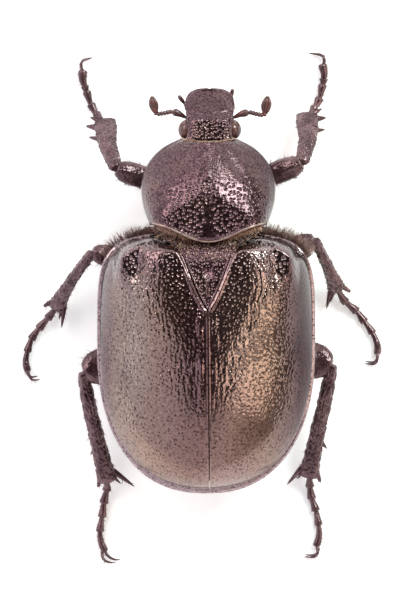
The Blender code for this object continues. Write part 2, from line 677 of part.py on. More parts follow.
def body_ring(y, half, roof, floor):
    """One cross-section of the trunk: roof and floor give the levels at x."""
    places = [math.sin(math.pi / 2 * (k / 7 - 1)) for k in range(15)]
    top = [(half * place, y, max(roof(half * place), BODY_SIDE_Z)) for place in places]
    low = [(half * place, y, min(floor(half * place), BODY_SIDE_Z - 0.25)) for place in places]
    return [*top, *reversed(low)]


def thorax_roof(x, y):
    """Under the wing cases and the scutellum, then under the collar and beside it under the rim."""
    case = core_top_z(x, min(y, 4.2)) - 0.65 * smoothstep(-1.1, -0.35, y)
    collar = COLLAR_Z - SCUTELLUM_WALL - SEAM
    beside = elytra_rim_z(5.4) - RIM_DEPTH - SEAM
    neck = beside + (collar - beside) * smoothstep(2.9, 2.1, abs(x))
    return min(case, case + (neck - case) * smoothstep(3.1, 4.2, y))


def thorax(grow=0.0):
    """Middle and hind thorax, with the shoulders that show in front of the wing cases."""
    rings = []
    rear, front = WAIST_Y + SEAM / 2 - grow, THORAX_FRONT_Y + grow
    for y in (rear, -1.2, -0.35, 0.8, 2.0, 3.1, 3.7, 4.3, 4.9, 5.4, front):
        half = min(body_half_width(min(y, 3.6)), 6.9 - 2.6 * smoothstep(4.6, 6.2, y)) + grow
        rings.append(body_ring(y, half, lambda x, y=y: thorax_roof(x, y),
                               lambda x, y=y: belly_z(x, y) + 0.9 * smoothstep(3.5, 6.0, y) - grow))
    return loft("thorax", rings, "dark_cuticle")


def abdomen(grow=0.0):
    """The abdomen, with a step at each of its plates on the underside."""
    plates = []
    length = (WAIST_Y - SEAM / 2 - ABDOMEN_REAR_Y) / VENTRITES
    for i in range(VENTRITES):
        front = WAIST_Y - SEAM / 2 - i * length
        plates += [(front, 0.14), (front - 0.5 * length, 0.03), (front - 0.93 * length, 0.0)]
    plates.append((ABDOMEN_REAR_Y, 0.0))
    rings = []
    for y, step in plates:
        rings.append(body_ring(y, body_half_width(y) + grow, lambda x, y=y: core_top_z(x, y),
                               lambda x, y=y, step=step: belly_z(x, y) + step - grow))
    return loft("abdomen", rings, "dark_cuticle")


def coxa(leg, name, grow=0.0):
    """The first joint of a leg, sunk in the underside."""
    place = Vector(LEGS[leg]["coxa"])
    side = 1 if place.x > 0 else -1
    kind = leg.split("_")[0]
    if kind == "front":
        path = (place + Vector((-side * 0.5, -0.2, 1.2)), place, place + Vector((side * 0.45, 0.2, -0.6)))
        profile = ((0.0, 0.75, 0.75), (0.4, 0.85, 0.8), (0.8, 0.62, 0.6), (1.0, 0.3, 0.3))
        return tube(name, path, profile, "leg_cuticle", 10, grow, flat=(0, 1, 0))
    reach = 1.3 if kind == "mid" else 2.6
    half = 0.75 if kind == "mid" else 0.8
    path = (place + Vector((-side * 1.3, 0.1, 0.2)), place + Vector((side * 0.2, 0, 0)),
            place + Vector((side * reach, -0.1, 0.25 * reach)))
    profile = ((0.0, half * 0.5, 0.35), (0.25, half * 0.95, 0.5), (0.7, half, 0.5), (1.0, half * 0.5, 0.3))
    return tube(name, path, profile, "leg_cuticle", 10, grow)


def femur_path(leg):
    hip, knee = Vector(LEGS[leg]["hip"]), Vector(LEGS[leg]["knee"])
    return hip, (hip + knee) / 2 + Vector((0, 0, 0.12)), knee


def femur(leg, name, grow=0.0):
    return tube(name, femur_path(leg), FEMUR[leg.split("_")[0]], "leg_cuticle", 10, grow)


def tibia_path(leg):
    knee, ankle = Vector(LEGS[leg]["knee"]), Vector(LEGS[leg]["ankle"])
    bow = Vector((*LEGS[leg]["bow"], 0.25))
    return knee + Vector((0, 0, 0.05)), (knee + ankle) / 2 + bow, ankle


def tibia(leg, name, grow=0.0):
    return tube(name, tibia_path(leg), TIBIA[leg.split("_")[0]], "leg_cuticle", 10, grow)


def spikes(leg):
    """Teeth, spurs and blunt fingers of a tibia, rooted inside it and pointing down and out."""
    ankle_z = LEGS[leg]["ankle"][2]
    pointed = LEGS[leg]["spikes"]
    made = []
    for i, (root, tip, radius) in enumerate((*pointed, *LEGS[leg].get("fingers", ()))):
        knee, ankle = Vector(LEGS[leg]["knee"]), Vector(LEGS[leg]["ankle"])
        share = min((Vector(root) - knee.xy).length / (ankle.xy - knee.xy).length, 1.0)
        level = knee.z + (ankle_z - knee.z) * share
        level += 0.25 * 4 * share * (1 - share)
        inward = (Vector(root) - Vector(tip)).normalized() * 0.35
        start = (root[0] + inward.x, root[1] + inward.y, level)
        end = (tip[0], tip[1], max(level - 0.35, 0.45))
        tip_radius = SPINE_TIP if i < len(pointed) else FINGER_TIP
        made.append(spike(f"{leg}_spike{i}", start, end, radius * 1.1, "leg_cuticle", tip_radius=tip_radius))
    return made


def tarsus(leg, name):
    """The foot: five flaring joints laid along the floor, and a pair of claws."""
    data = LEGS[leg]
    ankle = data["ankle"]
    levels = [ankle[2] - 0.15, 0.62, TARSUS_LEVEL + 0.06] + [TARSUS_LEVEL] * (len(data["foot"]) - 3)
    path = [(x, y, z) for (x, y), z in zip(data["foot"], levels)]
    steps = [(Vector(b) - Vector(a)).length for a, b in zip(path, path[1:])]
    stops = [sum(steps[:i]) / sum(steps) for i in range(5)] + [1.0]
    profile = [(0.0, TARSOMERE_NECK, TARSOMERE_NECK)]
    for start, end in zip(stops, stops[1:]):
        share = end - start
        profile += [(start + 0.35 * share, (TARSOMERE_NECK + TARSOMERE_FLARE) / 2, TARSUS_LEVEL),
                    (start + 0.85 * share, TARSOMERE_FLARE, TARSOMERE_DEPTH),
                    (start + 0.94 * share, TARSOMERE_FLARE * 0.96, TARSOMERE_DEPTH),
                    (end, TARSOMERE_NECK, TARSOMERE_NECK)]
    foot = tube(name, path, profile, "leg_cuticle", 8)
    end = Vector(path[-1])
    before = (end - Vector(path[-2])).normalized()
    aside = Vector((-before.y, before.x, 0))
    turn, tip = (Vector((*point, 0)) for point in data["claw"])
    claws = []
    for spread in (-1, 1):
        root = end - before * 0.3 + aside * 0.1 * spread
        shift = aside * 0.16 * spread
        middle = turn + shift + Vector((0, 0, 0.32 + 0.06 * spread))
        point = tip + shift * 1.3 + Vector((0, 0, 0.16))
        claws.append(tube(f"{name}_claw{spread}", (root, middle, point),
                          ((0.0, CLAW_RADIUS, CLAW_RADIUS), (0.4, CLAW_RADIUS, CLAW_RADIUS),
                           (0.75, 0.16, 0.16), (1.0, 0.06, 0.06)), "leg_cuticle", 6))
    fuse(foot, *claws)
    below = box("floor", (-FLOOR_REACH, -FLOOR_REACH, -5), (FLOOR_REACH, FLOOR_REACH, FLOOR_Z))
    return cut(foot, below, tibia(leg, "ankle_seam", SEAM))


def leg_set(leg):
    cut(coxa(leg, f"coxa_{leg}"), *body_seams(leg))
    cut(femur(leg, f"femur_{leg}"), coxa(leg, "coxa_seam", SEAM), *body_seams(leg))
    shin = tibia(leg, f"tibia_{leg}")
    fuse(shin, *spikes(leg))
    cut(shin, femur(leg, "knee_seam", SEAM))
    tarsus(leg, f"tarsus_{leg}")


def body_seams(leg):
    if leg.startswith("front"):
        return [prothorax_block(SEAM)]
    if leg.startswith("mid"):
        return [thorax(SEAM)]
    return [thorax(SEAM), abdomen(SEAM)]


def main():
    for old in list(bpy.data.objects):
        bpy.data.objects.remove(old)
    elytron_right = elytron(1, "elytron_right")
    elytron_left = elytron(-1, "elytron_left")
    cut(elytron_right, notch_cutter())
    cut(elytron_left, notch_cutter())
    scutellum()
    shield()
    head()
    eye(-1, "eye_left")
    eye(1, "eye_right")
    antenna(-1, "antenna_left", (-2.6, 14.5, 6.4), (-3.72, 14.3, 6.4), (-4.1, 15.65, 6.7), 0.37)
    antenna(1, "antenna_right", (3.12, 14.45, 6.4), (4.2, 14.22, 6.4), (4.5, 15.66, 6.7), 0.44)
    cut(palp("palp_left", (-0.9, 14.1, 4.1), (-2.05, 15.6, 4.9)), mouthparts("left_palp_seam", SEAM))
    cut(palp("palp_right", (1.5, 14.25, 4.1), (1.92, 16.15, 4.9)), mouthparts("right_palp_seam", SEAM))
    mouthparts("mouthparts")
    thorax()
    abdomen()
    for leg in LEGS:
        leg_set(leg)


main()
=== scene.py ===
# %% [markdown]
# # A hermit beetle, dressed for its picture
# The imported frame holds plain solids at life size: a shield, a head, two wing cases, a trunk and six
# legs. This lesson gives each of them the surface of the real insect. The cells run in order, and
# every size is in millimetres until the last moment, when MM turns it into Blender's metres.
# Seen from above, the beetle lies with its head to +Y. The floor is z = 0.

# %% Load the solids
import math

import bpy
import numpy as np
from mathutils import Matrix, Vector


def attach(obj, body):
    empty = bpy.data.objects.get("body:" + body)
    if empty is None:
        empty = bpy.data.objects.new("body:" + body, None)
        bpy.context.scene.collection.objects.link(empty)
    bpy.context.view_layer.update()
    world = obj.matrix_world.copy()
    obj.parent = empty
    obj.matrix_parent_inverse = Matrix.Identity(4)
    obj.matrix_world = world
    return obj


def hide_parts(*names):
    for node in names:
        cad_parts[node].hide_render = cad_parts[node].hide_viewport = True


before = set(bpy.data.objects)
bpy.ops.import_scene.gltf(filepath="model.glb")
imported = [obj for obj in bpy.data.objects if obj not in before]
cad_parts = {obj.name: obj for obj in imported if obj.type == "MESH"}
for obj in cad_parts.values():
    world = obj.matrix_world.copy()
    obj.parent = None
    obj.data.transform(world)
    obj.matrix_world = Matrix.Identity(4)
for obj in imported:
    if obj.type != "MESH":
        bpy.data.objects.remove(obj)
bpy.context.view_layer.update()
bpy.ops.object.select_all(action="DESELECT")
bpy.context.tool_settings.mesh_select_mode = (False, False, True)
MM = 0.001

# %% [markdown]
# ## Camera
# The specimen was photographed from straight above. A long lens keeps the feet on the floor and the
# high back at nearly the same scale, as in such pictures. The frame is 402 by 612 pixels and one
# pixel covers 0.0744 mm at the level of the side margin, which fixes the distance for a given lens.

# %% Camera straight above
IMAGE_SIZE = (402, 612)
PIXEL = 0.0744                      # mm on the beetle
MIDDLE_PIXEL = (207.0, 306.5)       # the pixel over x = 0, y = 0
MARGIN_LEVEL = 5.0                  # mm, between the feet and the back

camera_data = bpy.data.cameras.new("camera")
camera_data.lens = 800
camera_data.sensor_width = 36
distance = PIXEL * IMAGE_SIZE[1] * camera_data.lens / camera_data.sensor_width
camera_data.clip_start, camera_data.clip_end = 0.05, 20
camera = bpy.data.objects.new("camera", camera_data)
bpy.context.scene.collection.objects.link(camera)
camera.location = ((IMAGE_SIZE[0] / 2 - MIDDLE_PIXEL[0]) * PIXEL * MM,
                   (MIDDLE_PIXEL[1] - IMAGE_SIZE[1] / 2) * PIXEL * MM,
                   (distance + MARGIN_LEVEL) * MM)
bpy.context.scene.camera = camera
print("camera at", round(distance), "mm")

# %% [markdown]
# ## Colours and nodes
# Colours are written as on a paint chart, in sRGB hex, and one function turns them linear. Another
# adds any shader node with its settings and links. A few short ones on top of it, each for a node
# that comes back in every material, let the materials below read from top to bottom.

# %% Helpers for materials
def linear(hex_colour):
    """A paint-chart colour as Blender's linear colour."""
    parts = [int(hex_colour[i:i + 2], 16) / 255 for i in (1, 3, 5)]
    return (*[c / 12.92 if c <= 0.04045 else ((c + 0.055) / 1.055) ** 2.4 for c in parts], 1.0)


def fill(tree, node, inputs):
    """Gives inputs, by name or number, a value or another node's socket."""
    for name, value in inputs.items():
        if isinstance(value, bpy.types.NodeSocket):
            tree.links.new(value, node.inputs[name])
        else:
            node.inputs[name].default_value = value


def add(tree, kind, inputs, **settings):
    made = tree.nodes.new("ShaderNode" + kind)
    for name, value in settings.items():
        setattr(made, name, value)
    fill(tree, made, inputs)
    return made


def new_finish(name):
    """An empty material with its shader: returns (material, tree, shader, place in millimetres)."""
    finish = bpy.data.materials.new(name)
    finish.use_nodes = True
    tree = finish.node_tree
    place = add(tree, "TexCoord", {}).outputs["Object"]
    millimetres = add(tree, "Mapping", {"Vector": place, "Scale": (1000, 1000, 1000)}).outputs[0]
    return finish, tree, tree.nodes["Principled BSDF"], millimetres


def noise(tree, place, scale, detail, roughness=0.5):
    """Cloudy noise, scale humps to the millimetre."""
    inputs = {"Vector": place, "Scale": scale, "Detail": detail, "Roughness": roughness}
    return add(tree, "TexNoise", inputs).outputs["Fac"]


def scattered_dots(tree, place, scale, randomness):
    """Distance to the nearest of many scattered points, scale of them to the millimetre."""
    inputs = {"Vector": place, "Scale": scale, "Randomness": randomness}
    return add(tree, "TexVoronoi", inputs, feature="F1").outputs["Distance"]


def separate(tree, vector):
    return add(tree, "SeparateXYZ", {"Vector": vector}).outputs


def rescale(tree, value, low, high, new_low=0.0, new_high=1.0, **settings):
    inputs = {"Value": value, "From Min": low, "From Max": high, "To Min": new_low, "To Max": new_high}
    return add(tree, "MapRange", inputs, **settings).outputs[0]


def multiply_add(tree, value, factor, plus):
    return add(tree, "Math", {0: value, 1: factor, 2: plus}, operation="MULTIPLY_ADD").outputs[0]


def mix(tree, factor, under, over, blend="MIX"):
    inputs = {"Factor": factor, "A": under, "B": over}
    return add(tree, "Mix", inputs, data_type="RGBA", blend_type=blend).outputs["Result"]


def ramp(tree, factor, stops):
    """A colour ramp through (position, hex colour or grey level)."""
    made = add(tree, "ValToRGB", {"Fac": factor})
    while len(made.color_ramp.elements) < len(stops):
        made.color_ramp.elements.new(0.5)
    for element, (position, colour) in zip(made.color_ramp.elements, stops):
        element.position = position
        element.color = linear(colour) if isinstance(colour, str) else (colour, colour, colour, 1)
    return made.outputs["Color"]


def bump(tree, height, depth, strength, under=None):
    """Bump of a depth in millimetres, on top of another."""
    inputs = {"Height": height, "Distance": depth * MM, "Strength": strength}
    if under is not None:
        inputs["Normal"] = under
    return add(tree, "Bump", inputs).outputs[0]

# %% [markdown]
# ## Floor and light
# A pale sheet of card lies under the beetle. The light is that of a white tent with a round hole in
# its roof for the lens: glossy cuticle mirrors the tent, and where it lies flat it mirrors the hole,
# which is why the highest parts of the back look nearly black. The tent is the world itself, made of
# its direction only, a little cooler on the left and darker on the right. Three soft boxes add the
# brightest patches.

# %% Floor
FLOOR_SIZE, FLOOR_DEPTH = 4, 0.00001        # metres; a hair's breadth under the feet
bpy.ops.mesh.primitive_plane_add(size=FLOOR_SIZE, location=(0, 0, -FLOOR_DEPTH))
floor = bpy.context.object
floor.name = "floor"
card, tree, shader, place = new_finish("matt_card")
# Matt card: pressed paper fibre, pale and without gloss. It glows a little, as on a lit white table.
fibre = ramp(tree, noise(tree, place, 0.8, 4.0), ((0.3, "#F4F2F2"), (0.7, "#FBFAFA")))
fill(tree, shader, {"Base Color": fibre, "Roughness": 0.9, "Specular IOR Level": 0.1,
                    "Emission Color": linear("#FFFFFF"), "Emission Strength": 0.42})
floor.data.materials.append(card)

# %% Light tent
TENT_STRENGTH, HOLE_STRENGTH = 1.15, 0.03
HOLE = (0.74, 0.93)                 # height of the direction at the edge of the hole: tent, dark
world = bpy.data.worlds.new("light_tent")
bpy.context.scene.world = world
world.use_nodes = True
tree = world.node_tree
direction = separate(tree, add(tree, "TexCoord", {}).outputs["Generated"])
tent_tint = ramp(tree, rescale(tree, direction["X"], -1.0, 1.0),
                 ((0.15, "#F2F2FF"), (0.5, "#FFFFFF"), (0.78, "#E4D8CC"), (0.90, "#A09288"),
                  (1.0, "#62524C")))
roof = rescale(tree, direction["Z"], *HOLE, 1.0, HOLE_STRENGTH, interpolation_type="SMOOTHSTEP")
hole_tint = ramp(tree, roof, ((0.0, "#FFB0B4"), (0.4, "#FFFFFF")))     # the hole's own warm dusk
power = add(tree, "Math", {0: roof, 1: TENT_STRENGTH}, operation="MULTIPLY").outputs[0]
fill(tree, tree.nodes["Background"], {"Color": mix(tree, 1.0, tent_tint, hole_tint, "MULTIPLY"),
                                      "Strength": power})
bpy.context.scene.view_settings.view_transform = "Standard"


def soft_box(name, place, target, size, watts, colour):
    """A soft box that faces its target, in millimetres."""
    data = bpy.data.lights.new(name, "AREA")
    data.shape = "RECTANGLE"
    data.size, data.size_y = size[0] * MM, size[1] * MM
    data.energy = watts
    data.color = linear(colour)[:3]
    lamp = bpy.data.objects.new(name, data)
    bpy.context.scene.collection.objects.link(lamp)
    lamp.location = Vector(place) * MM
    lamp.rotation_euler = (Vector(target) - Vector(place)).to_track_quat("-Z", "Y").to_euler()


soft_box("window_right", (190, 210, 275), (0, 0, 8), (170, 170), 1.25, "#E6FFF8")
soft_box("window_left", (-215, 185, 275), (0, 0, 8), (230, 200), 0.50, "#FFFAF0")
soft_box("warm_side", (370, -60, 270), (0, 0, 6), (230, 280), 0.40, "#FFF0DC")
print("tent and soft boxes hung")

# %% [markdown]
# ## Sheets pressed over a form
# The back of a beetle is made of curved plates. Each is made here as a metalworker would: a flat
# sheet is ruled coarse and given its wall by Solidify, its upper side alone is ruled fine, and the
# sheet is then pressed over a form, a formula that says where each point of the sheet lands. Pushing
# and pulling such a plate by hand would never give both halves the same curve as the solids have.
# The fine side then takes the relief: pits, wrinkles and beads, all as real shape.

# %% Ruling a flat sheet
FINE_CUTS = 9                       # cuts between the coarse rules, on the upper side


def flat_sheet(name, size, cells, wall):
    """A closed sheet, size[0] by size[1] mm in cells[0] by cells[1], its top ruled ten times finer."""
    bpy.ops.object.select_all(action="DESELECT")
    bpy.ops.mesh.primitive_grid_add(x_subdivisions=cells[0], y_subdivisions=cells[1], size=MM)
    sheet = bpy.context.object
    sheet.name = sheet.data.name = name
    bpy.ops.transform.resize(value=(size[0], size[1], 1))
    bpy.ops.object.transform_apply(scale=True)
    thickness = sheet.modifiers.new("wall", "SOLIDIFY")
    thickness.thickness = wall * MM
    thickness.offset = -1
    bpy.ops.object.modifier_apply(modifier="wall")
    for face in sheet.data.polygons:
        face.select = face.normal.z > 0.9
    bpy.ops.object.mode_set(mode="EDIT")
    bpy.ops.mesh.subdivide(number_cuts=FINE_CUTS)
    bpy.ops.mesh.select_all(action="DESELECT")
    bpy.ops.object.mode_set(mode="OBJECT")
    return sheet


def read(parts, what, width=3):
    """What Blender keeps of all points or faces of a mesh, as rows of numbers."""
    flat = np.empty(len(parts) * width, np.float32)
    parts.foreach_get(what, flat)
    return flat.reshape(-1, width).astype(float)


def points_of(piece):
    return read(piece.data.vertices, "co") / MM


def set_points(piece, points):
    piece.data.vertices.foreach_set("co", (points * MM).astype(np.float32).ravel())
    piece.data.update()


def unit(vectors):
    return vectors / np.maximum(np.linalg.norm(vectors, axis=1, keepdims=True), 1e-9)


def tidy(piece, finish):
    """Faces outwards, smooth shading and a finish."""
    bpy.ops.object.select_all(action="DESELECT")
    bpy.context.view_layer.objects.active = piece
    piece.select_set(True)
    bpy.ops.object.mode_set(mode="EDIT")
    bpy.ops.mesh.select_all(action="SELECT")
    bpy.ops.mesh.normals_make_consistent(inside=False)
    bpy.ops.object.mode_set(mode="OBJECT")
    bpy.ops.object.shade_smooth()
    piece.data.materials.clear()
    piece.data.materials.append(finish)
    piece.select_set(False)


def stand_in(piece, slot, *nodes):
    """The piece is seen in place of the solids of these nodes."""
    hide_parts(*nodes)
    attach(piece, "root")
    print(piece.name, len(piece.data.polygons), "faces")


def press(sheet, size, form, relief, turn=1):
    """Presses a sheet over form(across, along, under), which gives places in mm for 0 to 1 each way.

    relief(place, across, along) lifts the upper side along its own normal. turn is -1 where the
    form mirrors the sheet.
    """
    flat = points_of(sheet)
    across, along = np.clip(flat[:, 0] / size[0] + 0.5, 0, 1), np.clip(flat[:, 1] / size[1] + 0.5, 0, 1)
    under, top = flat[:, 2] < -0.001, np.zeros(len(flat), bool)
    place = form(across, along, under)

    def run(aside, ahead):
        """The way over the form from just before each place to just past it."""
        past = form(np.clip(across + aside, 0, 1), np.clip(along + ahead, 0, 1), top)
        return past - form(np.clip(across - aside, 0, 1), np.clip(along - ahead, 0, 1), top)

    step = 1e-3
    normal = unit(np.cross(run(step, 0), run(0, step))) * turn
    set_points(sheet, place + normal * (relief(place, across, along) * ~under)[:, None])


def plate(name, size, cells, wall, form, relief, finish, turn=1):
    """A pressed plate with its finish."""
    sheet = flat_sheet(name, size, cells, wall)
    press(sheet, size, form, relief, turn)
    tidy(sheet, finish)
    return sheet

# %% [markdown]
# ## Pits and waves
# Cuticle is never plain. Scattered pits, each of which held a hair once, and soft wrinkles between
# them break the mirror of the back into thousands of glints. Two small functions give both: one
# finds the nearest pit of a scattered field, the other gives soft random waves.

# %% Fields of relief
def smooth(low, high, value):
    """0 before low, 1 after high, and a soft step between."""
    share = np.clip((value - low) / (high - low), 0.0, 1.0)
    return share * share * (3 - 2 * share)


def swell(x, y, at_x, at_y, radius_x, radius_y):
    """A round swelling of height 1."""
    return np.exp(-((x - at_x) / radius_x) ** 2 - ((y - at_y) / radius_y) ** 2)


def line(value, at, width):
    """A soft ridge of height 1 along a line."""
    return np.exp(-((value - at) / width) ** 2)


def pits(x, y, spacing, radius, seed, scatter=0.36):
    """Depth, 0 to 1, of many round pits about a spacing apart, and each pit's own number."""
    rolls = np.random.default_rng(seed).random((256, 256, 3))
    column, row = np.floor(x / spacing).astype(int), np.floor(y / spacing).astype(int)
    nearest, number = np.full(x.shape, 9.0), np.zeros(x.shape)
    for i in (-1, 0, 1):
        for j in (-1, 0, 1):
            roll = rolls[(column + i) % 256, (row + j) % 256]
            off_x = (column + i + 0.5 + scatter * (2 * roll[..., 0] - 1)) * spacing - x
            off_y = (row + j + 0.5 + scatter * (2 * roll[..., 1] - 1)) * spacing - y
            gap = np.hypot(off_x, off_y) / (radius * (0.75 + 0.5 * roll[..., 2]))
            closer = gap < nearest
            nearest, number = np.where(closer, gap, nearest), np.where(closer, roll[..., 2], number)
    return np.clip(1 - nearest ** 2, 0, 1) ** 1.5, number


def waves(x, y, size_x, size_y, seed):
    """Soft random humps and hollows between -1 and 1, of a size in millimetres."""
    lattice = np.random.default_rng(seed).random((128, 128)) * 2 - 1
    grid_x, grid_y = x / size_x, y / size_y
    column, row = np.floor(grid_x).astype(int), np.floor(grid_y).astype(int)
    share_x, share_y = smooth(0, 1, grid_x - column), smooth(0, 1, grid_y - row)
    near = (lattice[column % 128, row % 128] * (1 - share_x)
            + lattice[(column + 1) % 128, row % 128] * share_x)
    far = (lattice[column % 128, (row + 1) % 128] * (1 - share_x)
           + lattice[(column + 1) % 128, (row + 1) % 128] * share_x)
    return near * (1 - share_y) + far * share_y


def even_path(points, count):
    """Points spread evenly along a polyline."""
    points = np.array(points, float)
    lengths = np.concatenate([[0], np.cumsum(np.linalg.norm(np.diff(points, axis=0), axis=1))])
    at = np.linspace(0, lengths[-1], count)
    return np.stack([np.interp(at, lengths, points[:, i]) for i in range(points.shape[1])], axis=1)


def soft_path(points, count=200):
    """A smooth curve through a few points, as points spread evenly along it."""
    knots = np.array(points, float)
    knots = np.vstack([2 * knots[0] - knots[1], knots, 2 * knots[-1] - knots[-2]])
    t = np.linspace(0, 1, 24, endpoint=False)[:, None]
    fine = []
    for a, b, c, d in zip(knots, knots[1:], knots[2:], knots[3:]):
        fine.append(0.5 * (2 * b + (c - a) * t + (2 * a - 5 * b + 4 * c - d) * t ** 2
                           + (3 * b - a - 3 * c + d) * t ** 3))
    fine.append(knots[-2][None])
    return even_path(np.vstack(fine), count)


def gap_to(path, x, y):
    """Distance in plan from each place to a path."""
    nearest = np.full(len(x), 9e9)
    for px, py in path:
        nearest = np.minimum(nearest, (x - px) ** 2 + (y - py) ** 2)
    return np.sqrt(nearest)

# %% [markdown]
# ## Bronzed cuticle
# The wing cases are hard chitin in many thin layers. The layers mirror light like a dark metal with a
# faint bronze tint. The hues that follow the place on the body are partly painted light: lilac and olive
# on the left and straw gold on the right are painted reflections of the tent's cool and warm sides, the
# outer right flank is darker as painted shade, the right shoulder lighter as a painted highlight, the
# margin bead lighter as a painted reflection, and the end is brown. So the material is mostly metallic,
# with roughness of a worn polish and the finest wrinkles as bump.

# %% Finish of the wing cases
bronze, tree, shader, place = new_finish("bronzed_chitin_with_painted_reflection")
# Chitin laid down in thin layers and polished by wear: a dark mirror with a faint bronze tint, its shifting
# hues partly painted reflection and painted shade.
parts = separate(tree, place)
side = multiply_add(tree, noise(tree, place, 0.22, 3.0, 0.55), 0.16, rescale(tree, parts["X"], -8.2, 8.2))
# Hues across the back: lilac left and straw gold right are painted reflections of the tent's sides, the dark
# stops at the outer right are painted shade.
middle = ramp(tree, side, ((0.13, "#6E5A5E"), (0.24, "#A8978D"), (0.34, "#A0867A"), (0.54, "#7E6064"),
                           (0.70, "#A6908A"), (0.88, "#A69084"), (0.94, "#6E5858"), (1.0, "#443236")))
tail = ramp(tree, side, ((0.12, "#7E6A6C"), (0.3, "#9C8278"), (0.5, "#8A6C66"), (0.66, "#9A7E7A"),
                         (0.85, "#8E746C"), (1.0, "#665054")))
# In front the lobes are lighter near the right shoulder: a painted highlight of the right window.
lobes = ramp(tree, side, ((0.12, "#6C585C"), (0.20, "#8E787C"), (0.30, "#846C6E"), (0.54, "#80666A"),
                          (0.74, "#86706E"), (0.84, "#9C888A"), (0.93, "#685256"), (1.0, "#443236")))
back, fore = rescale(tree, parts["Y"], -4.0, -12.0), rescale(tree, parts["Y"], 0.0, 3.5)
rim = rescale(tree, multiply_add(tree, parts["Y"], -0.07, parts["Z"]), 6.80, 6.62)
hue = mix(tree, fore, mix(tree, back, middle, tail), lobes)
# The margin bead is painted lighter: a painted reflection of the bright floor.
hue = mix(tree, rim, hue, linear("#A89498"))
pits_with_painted_shade, speck = scattered_dots(tree, place, 3.6, 0.85), noise(tree, place, 6.0, 4.0, 0.6)
# Dark spots round scattered points are painted shade in the pits; the same points dent the surface below.
hue = mix(tree, 1.0, hue, ramp(tree, pits_with_painted_shade, ((0.12, "#685A58"), (0.38, "#FFFFFF"))), "MULTIPLY")
hue = mix(tree, 1.0, hue, ramp(tree, speck, ((0.30, "#B9ADAD"), (0.62, "#FFFFFF"))), "MULTIPLY")
gloss = multiply_add(tree, back, 0.12, rescale(tree, speck, 0.0, 1.0, 0.08, 0.18))
fine = add(tree, "Mapping", {"Vector": place, "Scale": (9.0, 5.0, 5.0)}).outputs[0]
dents = bump(tree, ramp(tree, pits_with_painted_shade, ((0.05, 0.0), (0.32, 1.0))), 0.016, 0.6)
fill(tree, shader, {"Base Color": hue, "Metallic": 0.95, "Roughness": gloss, "Coat Weight": 0.12,
                    "Coat Roughness": 0.12,
                    "Normal": bump(tree, noise(tree, fine, 1.0, 3.0, 0.6), 0.010, 0.25, dents)})

# %% [markdown]
# ## Wing cases
# Two hard cases meet along the back in one straight seam. Each has a raised rib beside the seam, a
# smooth band along the little triangle in front, a rolled bead round its outer margin, a knob at the
# shoulder with a hollow inside it, and a skin that is pitted in front and wrinkled on its slope. The
# sheet's near edge follows the seam and the triangle, its far edge follows the outer margin, and
# straight rules between them carry everything in between.

# %% Sizes of the wing cases
CASE_HALF_WIDTH, CASE_WIDEST_Y = 8.1, -2.85
CASE_FRONT_REACH, CASE_REAR_REACH = 8.3, 11.05
SHOULDER_SQUARENESS, APEX_SQUARENESS = 4.8, 2.33
CASE_CROWN, CASE_SHIFT, SHOULDER_LEVEL = 5.15, -0.06, 3.75
SEAM_GAP = 0.03                     # half of the dark line between two plates
RIM = {"side": 0.20, "front": 0.22, "rear": 0.40}
TRIANGLE = ((0.03, -0.2), (0.55, 0.75), (1.15, 2.15), (1.7, 3.6), (2.05, 4.15), (2.75, 4.7), (3.6, 5.25))


def case_half_width(y, inset=0.0):
    """Half width of both wing cases at y. inset 1 gives the foot of the dome, inside the bead."""
    front = y > CASE_WIDEST_Y
    reach = np.where(front, CASE_FRONT_REACH - inset * RIM["front"], CASE_REAR_REACH - inset * RIM["rear"])
    power = np.where(front, SHOULDER_SQUARENESS, APEX_SQUARENESS)
    share = np.clip(np.abs(y - CASE_WIDEST_Y) / reach, 0, 1)
    return (CASE_HALF_WIDTH - inset * RIM["side"]) * (1 - share ** power) ** (1 / power)


def margin_gap(x, y):
    """Distance from a place to the outer margin, from the steepness of the superellipse."""
    front = y > CASE_WIDEST_Y
    reach = np.where(front, CASE_FRONT_REACH, CASE_REAR_REACH)
    power = np.where(front, SHOULDER_SQUARENESS, APEX_SQUARENESS)
    share_x = np.clip(np.abs(x) / CASE_HALF_WIDTH, 0, 1)
    share_y = np.clip(np.abs(y - CASE_WIDEST_Y) / reach, 0, 1)
    inside = 1 - share_x ** power - share_y ** power
    steep = power * np.hypot(share_x ** (power - 1) / CASE_HALF_WIDTH, share_y ** (power - 1) / reach)
    return np.maximum(inside, 0) / np.maximum(steep, 1e-3)


def rim_level(y):
    return 6.4 + 0.07 * (y - CASE_WIDEST_Y)


def rim_width(y):
    return RIM["side"] + (RIM["rear"] - RIM["side"]) * smooth(-6.0, -12.5, y)


